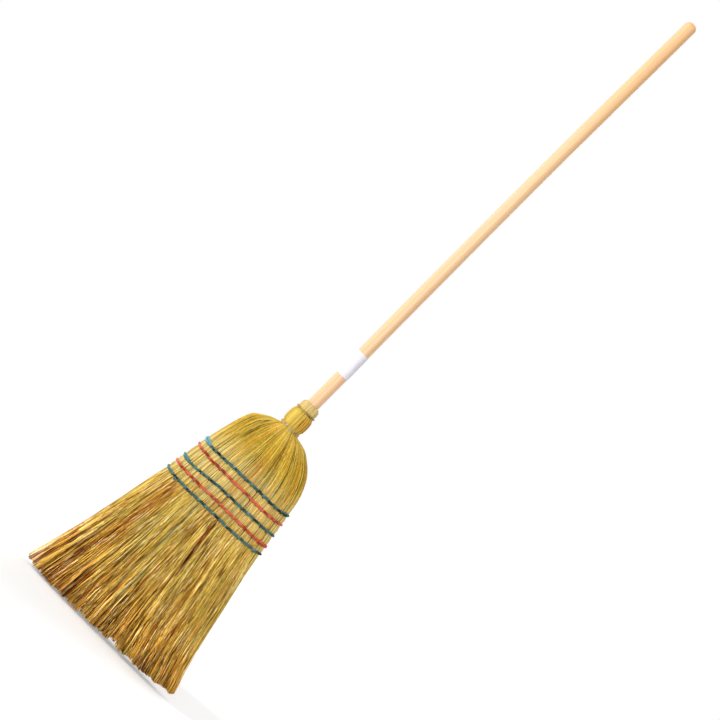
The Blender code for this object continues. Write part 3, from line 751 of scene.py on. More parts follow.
# Streaks in the straw of the front
streakValues = {
    "fade": 0.012,  # metres over which a streak ends
    "wide": 1.9,  # mm from which a streak is patchy
    "streaks": (
        # hue, darkness (partly painted shade in the gaps, partly the straw's own dark colour),
        # half width in mm, and the line that it follows downwards, as height and place across
        (0.96, 0.17, 15.0, ((0.285, -0.084), (0.206, -0.090), (0.140, -0.097), (0.110, -0.103))),
        (0.96, 0.50, 7.0, ((0.120, -0.108), (0.060, -0.118), (0.000, -0.123))),
        (0.96, 0.70, 2.0, ((0.108, -0.111), (0.080, -0.115), (0.055, -0.119))),
        (1.00, 0.55, 7.0, ((0.075, -0.079), (0.030, -0.080), (0.000, -0.081))),
        (-0.20, 0.12, 4.0, ((0.208, -0.074), (0.176, -0.077))),
        (0.70, 0.55, 1.5, ((0.262, -0.071), (0.163, -0.074), (0.120, -0.078))),
        (-0.20, 0.32, 4.5, ((0.290, -0.028), (0.230, -0.027), (0.180, -0.026))),
        (0.60, 0.60, 1.4, ((0.250, -0.031), (0.206, -0.031), (0.090, -0.028), (0.040, -0.027))),
        (-0.20, -0.24, 4.5, ((0.150, -0.012), (0.090, -0.012), (0.050, -0.012))),
        (0.33, -0.12, 6.0, ((0.276, -0.053), (0.237, -0.052), (0.195, -0.052))),
        (0.86, 0.25, 1.8, ((0.262, -0.004), (0.200, -0.001), (0.100, 0.003))),
        (0.92, 0.75, 1.0, ((0.250, 0.0225), (0.225, 0.0262), (0.205, 0.0285), (0.186, 0.0315),
                           (0.160, 0.0354))),
        (0.92, 0.60, 1.4, ((0.282, 0.0180), (0.272, 0.0190))),
        (0.87, -0.16, 4.2, ((0.291, 0.0164), (0.262, 0.0190), (0.241, 0.0214), (0.222, 0.0245))),
        (0.95, 0.90, 1.8, ((0.224, 0.0245), (0.202, 0.0300), (0.170, 0.0330))),
        (0.95, 1.00, 2.0, ((0.262, 0.0300), (0.224, 0.0400), (0.205, 0.0455))),
        (0.90, 0.70, 1.6, ((0.250, 0.0530), (0.206, 0.0570))),
        (0.95, 0.90, 1.6, ((0.108, -0.0270), (0.080, -0.0240), (0.050, -0.0210))),
        (0.92, 0.70, 1.8, ((0.132, 0.0010), (0.080, 0.0020))),
        (0.95, 0.80, 1.6, ((0.092, -0.1385), (0.066, -0.1390))),
        (0.92, 0.60, 1.6, ((0.258, -0.1080), (0.226, -0.1120))),
        (0.92, 0.80, 1.7, ((0.175, -0.0720), (0.150, -0.0710))),
        (0.95, 0.80, 1.5, ((0.060, -0.1510), (0.020, -0.1580))),
        (0.92, 0.90, 2.0, ((0.060, 0.0420), (0.020, 0.0500))),
        (0.95, 0.90, 1.8, ((0.060, 0.1420), (0.030, 0.1500))),
        (0.90, 0.60, 1.3, ((0.240, 0.0560), (0.170, 0.0720), (0.120, 0.0830))),
        (0.90, 0.60, 1.3, ((0.200, -0.1120), (0.130, -0.1290), (0.080, -0.1420))),
        (0.84, 0.45, 2.2, ((0.225, 0.0250), (0.163, 0.0300), (0.120, 0.0350))),
        (0.94, 0.75, 2.6, ((0.085, 0.012), (0.040, 0.013), (0.000, 0.013))),
        (0.95, 0.55, 3.2, ((0.130, 0.098), (0.094, 0.102), (0.060, 0.105))),
        (0.92, 0.80, 9.5, ((0.062, 0.107), (0.000, 0.112))),
        (0.72, 0.25, 10.0, ((0.075, 0.145), (0.000, 0.162))),
        (0.92, 0.16, 6.0, ((0.045, -0.095), (0.000, -0.097))),
        (0.60, 0.12, 5.0, ((0.125, 0.027), (0.026, 0.030))),
        (0.34, -0.18, 3.2, ((0.272, 0.031), (0.184, 0.043), (0.100, 0.060), (0.050, 0.071))),
        (0.32, -0.15, 2.2, ((0.250, 0.060), (0.150, 0.084), (0.060, 0.100))),
        (0.32, -0.15, 2.0, ((0.200, -0.108), (0.100, -0.131), (0.020, -0.150))),
        (0.34, -0.10, 10.0, ((0.085, -0.164), (0.000, -0.181))),
        (0.30, -0.15, 2.0, ((0.160, -0.060), (0.060, -0.066), (0.000, -0.068))),
        (0.08, 0.85, 3.8, ((0.460, -0.049), (0.440, -0.053), (0.425, -0.056))),
        (0.10, 0.90, 2.9, ((0.478, -0.043), (0.470, -0.047), (0.464, -0.050))),
        (0.12, 0.40, 3.5, ((0.428, -0.016), (0.408, -0.020), (0.388, -0.021))),
        (0.12, 0.38, 3.5, ((0.430, 0.022), (0.402, 0.028), (0.385, 0.030))),
        (0.14, 0.32, 3.5, ((0.430, 0.047), (0.408, 0.053), (0.388, 0.055))),
        (0.60, 0.35, 1.6, ((0.484, 0.006), (0.455, 0.013), (0.420, 0.024))),
        (0.55, 0.40, 1.4, ((0.482, 0.018), (0.462, 0.034), (0.438, 0.046))),
        (0.46, -0.15, 7.0, ((0.488, -0.006), (0.460, -0.004), (0.432, 0.000))),
        (0.80, 0.02, 6.5, ((0.529, 0.007), (0.498, 0.009))),
        (0.92, 0.50, 1.0, ((0.522, -0.001), (0.500, 0.000))),
        (0.36, -0.12, 6.0, ((0.529, -0.018), (0.498, -0.019))),
        (0.06, 0.14, 4.0, ((0.335, -0.032), (0.300, -0.031))),
        (0.95, 0.55, 2.4, ((0.309, -0.052), (0.300, -0.052))),
    ),
}


def colourStreaks(points, tone, hue, shade, strength):
    # lays the streaks over whatever straw lies in the front
    x, height = points[..., 0], points[..., 2]
    front = np.where(points[..., 1] < 0.010, strength, 0)
    patchy = 0.25 + 1.25 * np.random.RandomState(len(points)).random((len(points), 1))
    fade = streakValues["fade"]
    for streakHue, dark, half, line in streakValues["streaks"]:
        heights, places = zip(*line[::-1])
        side = np.exp(-(((x - np.interp(height, heights, places)) / (half * millimetre)) ** 2))
        rise = np.clip((height - heights[0]) / fade + 0.5, 0, 1)
        rise = rise * np.clip((heights[-1] - height) / fade + 0.5, 0, 1)
        share = side * rise * front * (patchy if half > streakValues["wide"] and dark < 1 else 1)
        hue = hue + (streakHue - hue) * np.clip(share, 0, 1)
        shade = shade + dark * share
        tone = tone - min(dark, 0) * share
    return tone, hue, shade


def likeNeighbours(chance, turn, waves, sharpness):
    # uneven bands round the head, so that neighbouring straws look alike
    total = np.zeros_like(turn)
    for pitch, size in waves:
        total = total + size * np.sin(2 * math.pi * (turn * pitch + chance.random()))
    return np.tanh(total * sharpness)


class Draws:
    # random numbers for a set of strands, one for each strand at a time
    def __init__(self, chance, count):
        self.chance = chance
        self.count = count

    def even(self):
        return self.chance.random((self.count, 1))

    def spread(self, size=1.0):
        return size * self.chance.normal(0, 1, (self.count, 1))

    def between(self, low, high, power=1.0):
        return low + self.even() ** power * (high - low)

    def varied(self, numbers, alike=0.0):
        middle, together, alone = numbers
        return middle + together * alike + self.spread(alone)

    def wander(self, base, size, pitch=0.16):
        phase = self.even() * 2 * math.pi
        rate = 1 + self.even()
        return self.spread(size) * np.sin(2 * math.pi * base / pitch * rate + phase)

    def stretches(self, fall, share, low, high):
        # one soft stretch somewhere along some of the strands
        middle = self.between(-0.05, 1.08)
        reach = self.between(0.06, 0.20)
        height = self.between(low, high) * (self.even() < share)
        return height * np.exp(-(((fall - middle) / reach) ** 2))


def addChosen(bunches, choices, parts):
    for node, own in choices:
        if own.any():
            bunches[node].strand(*(part[own] for part in parts))


# Whole stalks, from the cut collar down into the free straw
stalkValues = {
    "seed": 4,
    "layers": ((186, 0.0), (150, 1.7)),  # stalks in a layer, and how deep it lies in mm
    "radius": (0.95, 1.45),
    "thickness": (
        # height, and share of the radius there
        (0.0, 0.22), (0.12, 0.35), (0.24, 0.6), (0.30, 0.82), (0.40, 1.0), (0.46, 0.98),
        (0.49, 0.82), (0.52, 0.9), (0.55, 0.86),
    ),
    "top": 0.5500,
    "upper": (
        0.5470, 0.5427, 0.5385, 0.5354, 0.5330, 0.5306, 0.5270, 0.5239, 0.5190, 0.5137, 0.5080,
        0.5029, 0.4995, 0.4969, 0.4940, 0.4911, 0.4885, 0.4855, 0.4826, 0.4785, 0.4740, 0.4695,
        0.4650, 0.4590, 0.4521, 0.4450, 0.4380, 0.4250, 0.4120, 0.4000, 0.3900,
    ),
    "band": (
        0.3830, 0.3785, 0.3742, 0.3698, 0.3652, 0.3612, 0.3570, 0.3472, 0.3372, 0.3331,
        0.3290, 0.3232, 0.3174, 0.3133, 0.3092, 0.3047, 0.3001, 0.2960, 0.2916, 0.2850,
    ),
    "tail": (0.12, 0.28, 0.46, 0.64, 0.82, 1.0),
    "tailEnd": (0.10, 0.22),
    "cutHeight": 0.5502,
    "corners": (-0.0205, 0.0040),  # outside these the collar is cut aslant
    "cornerSlope": 1.0,
    "cutUneven": 0.0005,
    "sway": (0.0012, 0.00025),  # waves along a stalk: a share of the way round, and in depth
    "sunk": 0.0022,  # how much deeper it lies in the free straw
    "opening": (0.49, 0.05),  # height from which the stalks come apart, and over what length
    # middle, how far neighbours differ together, and how far each by itself
    "tone": (0.5, 0.24, 0.07),
    "hue": (0.46, 0.10, 0.09),
    "creaseShade": (0.20, 0.50),  # share of the stalks with painted crease shade between two rows, and its darkness
    "grey": (0.07, 0.12, 0.25),  # share of the grey stalks, their hue and darkness
    "frontDepth": -0.006,  # in front of this a straw makes way for the parting
}
bandFoot = stalkValues["band"][-1]


def cutTop(x):
    low, high = stalkValues["corners"]
    beyond = np.maximum(low - x, 0) + np.maximum(x - high, 0)
    return stalkValues["cutHeight"] - beyond * stalkValues["cornerSlope"]


def fallAt(height):
    # 0 at the last row, 1 at the floor
    return np.clip((lastRow - height) / lastRow, 0, 1)


def spreadTail(points, across, base):
    # below the last row the straw runs straight towards its share of the floor's width
    rootShare = np.clip(across, -1, 1)
    wanted = rootShare + (tipShareAt(rootShare)[..., 0] - rootShare) * fallAt(base)
    moved = points.copy()
    moved[..., 0] = points[..., 0] + outlineAt(base)[1] * (wanted - rootShare)
    return moved


# The one dark parting in the front of the free straw
gapValues = {
    "x": 0.0168,
    "top": 0.2865,
    "bottom": 0.170,
    "fades": (0.005, 0.07),  # over what height it opens at the top and closes at the bottom
    "slope": 0.115,
    "half": 4.0,  # mm by which the straws move aside
    "reach": 6.6,  # mm to each side within which they do
}


def openGap(points, front=True):
    # moves the straws in front aside where the parting runs
    height = points[..., 2]
    away = points[..., 0] - (gapValues["x"] + gapValues["slope"] * (gapValues["top"] - height))
    opening, closing = gapValues["fades"]
    share = np.clip((gapValues["top"] - height) / opening, 0, 1)
    share = share * np.clip((height - gapValues["bottom"]) / closing, 0, 1)
    near = np.exp(-((away / (gapValues["reach"] * millimetre)) ** 2))
    # a straw keeps to the side where most of it lies, so none crosses the parting
    side = np.sign((away * near * share).sum(axis=-1, keepdims=True))
    back = (side * np.maximum(side * away, 0) - away) * np.clip(share * 3, 0, 1) * near
    aside = side * gapValues["half"] * millimetre * near * share
    moved = points.copy()
    moved[..., 0] = points[..., 0] + np.where(front, back + aside, 0)
    return moved


def bandAndTail(end):
    # heights through the sewn part, and from there to each straw's own end
    band = np.broadcast_to(stalkValues["band"], (len(end), len(stalkValues["band"])))
    return band, bandFoot - (bandFoot - end) * np.array(stalkValues["tail"])


def looseAt(base):
    # 0 down to the end of the sewn part, 1 well below it
    return np.clip((bandFoot - base) / 0.15, 0, 1)


def layStraws(turn, points, normals, radius, tone, hue, shade, strength):
    tone, hue, shade = colourStreaks(points, tone, hue, shade, strength)
    corner = headValues["corner"]
    corners = (corner, 0.5 - corner, 0.5 + corner, 1 - corner)
    which = np.searchsorted(corners, turn[:, 0] % 1.0, side="right") % 4
    order = ("right_shoulder_straw", "back_cover_straw", "left_shoulder_straw", "front_cover_straw")
    choices = [(node, which == k) for k, node in enumerate(order)]
    addChosen(bundles, choices, (points, normals, radius, tone, hue, np.clip(shade, 0, 1)))


def makeStalks(values):
    chance = np.random.RandomState(values["seed"])
    for count, depth in values["layers"]:
        draws = Draws(chance, count)
        turn = ((np.arange(count) + 0.5 * chance.normal(0, 1, count)) / count) % 1.0
        turn = turn[:, None]
        size = draws.between(*values["radius"])
        top = values["top"] + draws.spread(0.0006)
        end = draws.between(*values["tailEnd"])
        upper = np.broadcast_to(values["upper"], (count, len(values["upper"])))
        base = np.concatenate([top, upper, *bandAndTail(end)], axis=1)
        radius = size * np.interp(base, *zip(*values["thickness"])) * millimetre
        foot, length = values["opening"]
        opened = np.clip((foot - base) / length, 0, 1)
        loose = looseAt(base)
        sideways, inward = values["sway"]
        path = turn + draws.wander(base, sideways) * (0.4 + opened)
        out = -radius * 0.9 - depth * millimetre * (0.8 + 0.4 * opened)
        out = out + draws.wander(base, inward) * opened - loose * values["sunk"]
        points, normals, across, fold = headPoints(path, base, out)
        # the cut end, and the two points below it, each lower than the one before
        highest = cutTop(points[:, 0, 0]) + chance.normal(0, values["cutUneven"], count)
        for k, drop in enumerate((0, 0.0022, 0.0012)):
            points[:, k, 2] = np.minimum(points[:, k, 2], highest - drop)
            highest = points[:, k, 2]
        points = spreadTail(points, across, base)
        if depth < 1.0:
            points = openGap(points, points[..., 1] < values["frontDepth"])

        alike = likeNeighbours(chance, turn, ((9, 0.5), (23, 0.8), (37, 0.8)), 0.9)
        tone = np.clip(draws.varied(values["tone"], alike), 0, 1)
        alike = likeNeighbours(chance, turn, ((17, 0.8), (37, 0.8)), 1.0)
        hue = np.clip(draws.varied(values["hue"], alike), 0.05, 0.85)
        # painted shade: the deeper layer, the pleats and the straw below the sewn part are darker
        shade = 0.10 * depth / values["layers"][-1][1] + 0.12 * fold + loose * 0.1
        between = np.searchsorted(-rows, -base)  # which gap between two rows
        # painted shade of a crease on some stalks, between two rows
        share, dark = values["creaseShade"]
        creaseShade = np.take_along_axis(chance.random((count, len(rows) + 1)) < share, between, axis=1)
        shade = shade + dark * creaseShade * np.clip((base - 0.280) / 0.01, 0, 1) * (base < 0.40)
        share, greyHue, dark = values["grey"]
        grey = draws.even() < share
        hue = np.where(grey, greyHue, hue)
        shade = shade + np.where(grey, dark, 0) * opened
        layStraws(turn, points, normals, radius, tone, hue, shade, 0.9)


# Finer straws that come out between the stalks on the shoulders and in the sewn part
fineStrawValues = {
    "seed": 9,
    "count": 760,
    "start": (0.385, 0.484),
    "end": (0.03, 0.20),
    "radius": (0.45, 0.85),
    "upper": (0.12, 0.3, 0.5, 0.75, 1.0),
    "bandTop": 0.3865,
    "taper": ((0.0, 0.15, 0.28), (0.4, 0.75, 1.0)),  # heights, and shares of the radius there
    "rise": 0.032,  # metres along which one comes to the surface
    "depth": 2.6,  # mm at which it starts
    "lean": 0.0016,
    "crossing": (0.25, 3.0),  # share of them that lean more, and how much more
    "sway": 0.0008,
    "tone": (0.58, 0.20, 0.12),
    "hue": (0.44, 0.06, 0.16),
    "dark": (0.10, 0.35),  # share of dark ones, and how dark
}


def makeFineStraws(values):
    chance = np.random.RandomState(values["seed"])
    draws = Draws(chance, values["count"])
    turn = draws.even()
    start = draws.between(*values["start"], power=0.7)
    end = draws.between(*values["end"])
    start = np.maximum(start, values["bandTop"] + 0.004)
    upper = start - (start - values["bandTop"]) * np.array(values["upper"])
    base = np.concatenate([start, upper, *bandAndTail(end)], axis=1)
    size = draws.between(*values["radius"])
    came = np.clip((start - base) / values["rise"], 0, 1)
    radius = size * np.interp(base, *values["taper"]) * (0.45 + 0.55 * came) * millimetre
    rest = draws.even() * 1.3 - 0.15
    loose = looseAt(base)
    sunk = values["depth"] + (rest - values["depth"]) * smoothStep(came)
    share, more = values["crossing"]
    crossing = np.where(draws.even() < share, more, 1.0)
    lean = draws.spread(values["lean"]) * crossing
    path = turn + lean * (0.45 - base) / 0.1 + draws.wander(base, values["sway"])
    points, normals, across, fold = headPoints(path, base, -sunk * millimetre - loose * 0.0006)
    points = openGap(spreadTail(points, across, base), points[..., 1] < stalkValues["frontDepth"])
    alike = likeNeighbours(chance, turn, ((9, 0.4), (23, 0.7), (37, 0.8)), 0.9)
    tone = np.clip(draws.varied(values["tone"], alike), 0, 1)
    hue = np.clip(draws.varied(values["hue"], alike), 0, 1)
    share, dark = values["dark"]
    # painted shade in the pleats and below the sewn part; some straws are darker by chance
    shade = 0.10 * fold + 0.12 * loose + np.where(draws.even() < share, dark, 0)
    layStraws(turn, points, normals, radius, tone, hue, shade, 0.8)


makeStalks(stalkValues)
print("stalks laid")
makeFineStraws(fineStrawValues)
print("fine straws laid")

# Free straw below the last row: fibres in tufts, tufts in locks, in three layers and two of
# single fibres a face
fibreValues = {
    "seed": 21,
    "layers": (
        # face (front, back, both narrow sides, inside), depth, tufts, fibres a tuft, darkness
        # as painted shade of the deeper layers, thickness, how far a tuft strays
        ("front", 0.02, 40, 19, 0.00, 1.00, 0.008),
        ("front", 0.13, 50, 14, 0.44, 1.00, 0.010),
        ("front", 0.34, 90, 5, 0.80, 1.10, 0.004),
        ("front", 0.00, 90, 1, 0.00, 1.30, 0.014),
        ("front", -0.01, 320, 1, 0.00, 0.75, 0.035),
        ("back", 0.02, 38, 17, 0.00, 1.00, 0.008),
        ("back", 0.13, 46, 12, 0.44, 1.00, 0.010),
        ("back", 0.34, 80, 5, 0.80, 1.10, 0.004),
        ("back", 0.00, 80, 1, 0.00, 1.30, 0.014),
        ("back", -0.01, 220, 1, 0.00, 0.75, 0.035),
        ("side", 0.02, 60, 7, 0.05, 1.00, 0.003),
        ("inside", 0.50, 330, 4, 0.85, 1.15, 0.004),
    ),
    "gapDepth": 0.1,  # layers nearer to the surface than this open at the parting
    "locks": 42,
    "notches": (47, 0.0058),  # how many along the lower edge, and how deep
    "notchSeed": 5,
    "start": (0.282, 0.336),
    "radius": (0.46, 0.76),
    "steps": (0.0, 0.05, 0.11, 0.18, 0.26, 0.34, 0.42, 0.50, 0.58, 0.66, 0.74, 0.81, 0.88, 0.94, 1.0),
    "lockLean": 0.006,  # how far a whole lock leans, a share of the width
    "sunk": (0.03, 0.04, 0.13),  # how deep a tuft lies, what its lock adds, and what chance does
    "pull": (0.25, 0.75),  # how far a tuft draws together towards its end
    "low": (0.0014, 0.0008),  # how much shorter a lock is, and a tuft
    "stray": (0.0035, 0.12, 0.035),  # how far a fibre strays, share of those that cross, how far
    "thinner": (0.35, 0.30),  # towards the floor, and under the stalks
    "swing": (0.0008, 0.6),  # a tuft's own waves, size and pitch
    "crinkle": ((0.0006, 0.42), (0.0002, 0.15)),  # and a fibre's
    "depthWaves": (0.0007, 0.4),
    "tone": (0.52, 0.30, 0.18),
    "hue": (0.48, 0.12, 0.13),
    "ragged": 0.0018,
    "short": (0.09, 0.030),  # share of short fibres, and how much they can miss
    "tuftSteps": 24,  # points along a tuft's own waves and marks
    "tuftDepth": 0.0026,  # how far the edges of a tuft lie behind its middle
    "tuftEdgeShade": 0.70,  # and how much painted shade they get
    "darkStretch": (0.30, 0.30, 0.90),  # share of the fibres, and the darkness of their painted shade, from and to
    "darkTuft": (0.35, 0.20, 0.60),
    "paleTuft": (0.40, 0.15, 0.45),
    "rust": (0.05, 0.86),  # share of rusty fibres, and their hue
    "gloomy": (0.12, 0.40),  # share of dark tufts, and how dark
}


def floorPlace(tip):
    # where a straw with this share of the width meets the floor, and the lower edge there
    middle, half = outlineAt(0.0)[:2]
    x = middle + half * tip
    return x, bottomAt(x)[..., 0]


def sortFibres(face, root, parts):
    root = root[:, 0]
    cover = np.abs(root) < headValues["wedge"]
    choices = (
        ("core_straw", cover & (face == "inside")),
        ("front_cover_straw", cover & (face == "front")),
        ("back_cover_straw", cover & (face == "back")),
        ("left_shoulder_straw", ~cover & (root < 0)),
        ("right_shoulder_straw", ~cover & (root > 0)),
    )
    addChosen(fibres, choices, parts)


def makeFibres(values):
    notchCount, deepest = values["notches"]
    notchPlaces = np.linspace(-0.19, 0.19, notchCount)
    notches = deepest * np.random.RandomState(values["notchSeed"]).random(notchCount) ** 1.5
    lockPlaces = np.linspace(-1, 1, values["locks"])
    tuftLine = np.linspace(0, 1, values["tuftSteps"])
    for k, (face, depth, tufts, each, dark, thick, stray) in enumerate(values["layers"]):
        chance = np.random.RandomState(values["seed"] + k)
        draws, tuftDraws = Draws(chance, tufts * each), Draws(chance, tufts)
        own = np.repeat(np.arange(tufts), each)

        def byTuft(numbers):
            return numbers[own][:, None]

        def alongTufts(lines, fall):
            # each fibre reads its tuft's line at its own heights
            return np.stack([np.interp(at, tuftLine, lines[tuft]) for at, tuft in zip(fall, own)])

        # where the tuft starts: share of the width, and of the depth there
        middle = (np.arange(tufts) + 0.5 + 0.25 * chance.normal(0, 1, tufts)) / tufts * 2 - 1
        within = np.zeros((draws.count, 1))
        if face == "side":
            root = np.sign(byTuft(middle)) * (0.985 - 0.02 * draws.even())
            deep = byTuft(np.abs(middle) * 2 - 1) + draws.spread(0.05)
        else:
            within = draws.between(-1, 1) if each > 1 else within
            root = byTuft(middle) + within * 0.95 / tufts
            deep = {"front": -1.0, "back": 1.0}.get(face, 0.0) + 0 * root
        if face == "inside":
            deep = byTuft(chance.uniform(-0.55, 0.55, tufts)) + draws.spread(0.05)
        root = np.clip(root, -0.995, 0.995)
        locks = [np.interp(middle, lockPlaces, chance.normal(0, 1, values["locks"])) for _ in range(4)]
        free = 0.0 if face == "side" else 1.0
        evenly = face == "inside"  # the inner straw fills the head evenly
        gathered = 0.0 if evenly or dark > 0.7 else 1.0
        lean = byTuft(values["lockLean"] * free * locks[0] + stray * chance.normal(0, 1, tufts))
        least, byLock, byChance = values["sunk"]
        sunk = byTuft(least + byLock * np.clip(locks[1], -1, 2) + byChance * chance.random(tufts) ** 2)
        pull = byTuft(chance.uniform(*values["pull"], tufts)) * gathered
        byLock, byChance = values["low"]
        low = byTuft(np.abs(byLock * locks[2]) + byChance * chance.random(tufts)) * (1 - 0.6 * dark)
        near, share, far = values["stray"]
        across = draws.spread(near) + np.where(draws.even() < share, draws.spread(far), 0)

        # from there to its end
        top = draws.between(*values["start"])
        tip = root if evenly else tipShareAt(root + (byTuft(middle) - root) * pull * free)[..., 0]
        tip = np.clip(tip + lean + across, -0.998, 0.998)
        tipX, bottom = floorPlace(tip)
        share, most = values["short"]
        short = np.where(draws.even() < share, most * draws.even(), 0)
        bottom = bottom + np.interp(tipX, notchPlaces, notches) + low + short
        bottom = bottom + np.abs(draws.spread(values["ragged"])) + 0.0006
        height = top + (bottom - top) * np.array(values["steps"])
        fall = fallAt(height)
        share = root + (tip - root) * fall

        # and the line between
        centre, half, headDepth, _ = outlineAt(height)
        hidden = np.clip((height - 0.270) / 0.03, 0, 1)
        radius = draws.between(*values["radius"])
        below, under = values["thinner"]
        radius = radius * thick * (1 - below * fall) * (1 - under * hidden) * millimetre
        swing = alongTufts(tuftDraws.wander(tuftLine, *values["swing"]), fall)
        loose = np.clip(fall * 3, 0, 1)
        crinkle = swing + sum(draws.wander(fall, *waves) for waves in values["crinkle"])
        crinkle = crinkle * loose * (0.3 + 0.7 * free) * (1 - 0.8 * np.abs(share) ** 8)
        x = centre + (half - radius) * share + crinkle
        behind = (1 - np.sqrt(1 - 0.98 * within**2)) * gathered
        surfaceDepth = headDepth * ovalDepth(share, headValues["flatBluntness"])
        y = surfaceDepth - radius - behind * values["tuftDepth"]
        y = y * deep * (1 - depth - 0.16 * hidden - sunk * (0.3 + 1.3 * fall))
        y = y + (draws.wander(fall, *values["depthWaves"]) + draws.spread(0.0004)) * loose
        points = np.stack([x, y, height], axis=-1)
        if face == "front" and depth < values["gapDepth"]:
            points = openGap(points)
        out = np.stack([0.2 * share, np.sign(deep) + 0 * x, 0 * x], axis=-1)

        alike = byTuft(0.45 * locks[3] + 0.85 * chance.normal(0, 1, tufts))
        tone = draws.varied(values["tone"], np.clip(alike, -1.6, 1.6))
        alike = byTuft(0.5 * locks[1] + chance.normal(0, 1, tufts))
        hue = draws.varied(values["hue"], alike) + (0.06 if free else -0.12) * fall
        rare, rareHue = values["rust"]
        hue = np.where(draws.even() < rare, rareHue, hue)
        rare, gloom = values["gloomy"]
        gloomy = byTuft(np.where(chance.random(tufts) < rare, gloom, 0.0))
        # painted shade: deeper layers and sunken tufts, a tuft's edges, and dark stretches along fibres
        # and tufts
        shade = dark + sunk * fall + gloomy * (0.3 + 0.7 * fall)
        shade = shade + behind * values["tuftEdgeShade"] * (0.3 + 0.7 * np.clip(fall * 2, 0, 1))
        shade = shade + draws.stretches(fall, *values["darkStretch"])
        shade = shade + alongTufts(tuftDraws.stretches(tuftLine, *values["darkTuft"]), fall)
        tone = tone + alongTufts(tuftDraws.stretches(tuftLine, *values["paleTuft"]), fall)
        tone, hue, shade = colourStreaks(points, tone, hue, shade, 0.8)
        tone, hue, shade = np.clip(tone, -0.1, 1.2), np.clip(hue, 0, 1), np.clip(shade, 0, 1)
        sortFibres(face, root, (points, out, radius, tone, hue, shade))
        print(face, "fibres laid:", draws.count)


# Single straws, and dark strands laid as painted shade in the partings, that stand out of the free
# straw
looseStrawValues = {
    "seed": 70,
    "steps": 13,
    "kinds": (
        # how many a face, radius in mm, length, darkness, tone, mm proud of the face
        # dark strands: painted shade in the partings between the straws
        (260, (0.70, 1.30), (0.020, 0.075), (0.75, 1.00), (0.3, 0.5), 0.2),
        (110, (0.65, 1.05), (0.060, 0.280), (0.00, 0.10), (0.66, 0.95), 0.2),
        (50, (0.45, 0.75), (0.080, 0.280), (0.00, 0.05), (0.80, 1.0), 0.6),
    ),
    "lowest": (-0.05, 0.265),
    "highest": 0.300,
    "stray": (0.12, 0.060, 0.016),  # share of stray straws, how far they lean, and the others
    "bends": ((0.0007, 0.35), (0.0004, 0.15)),  # size and pitch
    "hue": (0.44, 0.0, 0.14),
}


def makeLooseStraws(values):
    chance = np.random.RandomState(values["seed"])
    along = np.linspace(0, 1, values["steps"])[None, :]
    for face, side in (("front", -1.0), ("back", 1.0)):
        for count, radii, lengths, shades, tones, proud in values["kinds"]:
            draws = Draws(chance, count)
            length = draws.between(*lengths)
            root = draws.between(-0.96, 0.96)
            tip = tipShareAt(root)[..., 0]
            low = np.maximum(floorPlace(tip)[1] + 0.004, draws.between(*values["lowest"]))
            high = np.minimum(low + length, values["highest"])
            height = high + (low - high) * along
            fall = fallAt(height)
            strays, far, near = values["stray"]
            stray = np.where(draws.even() < strays, far, near)
            lean = stray * draws.spread() * (along - 0.5) * length / 0.2
            share = np.clip(root + (tip - root) * fall + lean, -0.985, 0.985)
            centre, half, depth, _ = outlineAt(height)
            ends = np.clip(np.minimum(along, 1 - along) / 0.25, 0.12, 1)
            radius = draws.between(*radii) * ends * (1 - 0.25 * fall) * millimetre
            bend = sum(draws.wander(fall, *waves) for waves in values["bends"])
            x = centre + (half - radius) * share + bend * (1 - np.abs(share) ** 6)
            surfaceDepth = depth * ovalDepth(share, headValues["flatBluntness"])
            y = side * (surfaceDepth * 0.985 - radius + proud * millimetre)
            points = np.stack([x, y, height], axis=-1)
            if face == "front":
                points = openGap(points)
            out = np.broadcast_to(np.array([0.0, side, 0.0]), points.shape)
            hue = np.clip(draws.varied(values["hue"]), 0.05, 0.9)
            tone, shade = draws.between(*tones), draws.between(*shades)
            if shades[1] < 0.5:
                tone, hue, shade = colourStreaks(points, tone, hue, shade, 0.6)
            sortFibres(face, root, (points, out, radius, tone, hue, np.clip(shade, 0, 1)))
        print(face, "loose straws laid")


makeFibres(fibreValues)
makeLooseStraws(looseStrawValues)

# Where the handle's middle lies: the stick is a little bowed
handleLineValues = {
    "heights": (0.39, 0.55, 0.60, 0.70, 0.80, 0.90, 1.00, 1.15, 1.30, 1.40, 1.50),
    "places": (-8.4, -8.4, -8.7, -9.8, -10.7, -11.3, -11.8, -12.2, -11.6, -11.0, -10.4),
}
handleLine = smoothLine(handleLineValues["heights"], np.array(handleLineValues["places"]) * millimetre)
neckX = handleLineValues["places"][0] * millimetre

# Cut stubs that fill the collar round the handle, and a bed under all the straw, dark as painted shade
fillValues = {
    "seed": 33,
    "spacing": 2.0,
    "rowPitch": 0.866,  # of the spacing, so that three stubs stand in a triangle
    "stubRows": 12,
    "stubRing": (0.0131, 0.0158),  # between the handle and the stalks
    "stubBottom": 0.534,
    "uneven": 0.00018,
    "tone": (0.55, 0.0, 0.2),
    "hue": (0.38, 0.0, 0.08),
    "radius": 0.92,
    "bedInset": 2.7,
    "bedTop": 0.5455,
    "bedBottoms": (0.26, 0.225),
    "bedNarrow": 0.35,  # how much shallower the bed gets below the sewn part
    "bedTurns": 96,
    "bore": (0.0144, 0.0144, 0.0124, 0.0056),  # radii of the hollow for the handle
    "boreHeights": (0.5455, 0.5000, 0.4960, 0.3900),
    # the bed's dark browns are painted shade inside the head
    "colours": ((0.30, (30, 17, 5)), (0.52, (60, 38, 13)), (0.72, (96, 66, 27))),
}


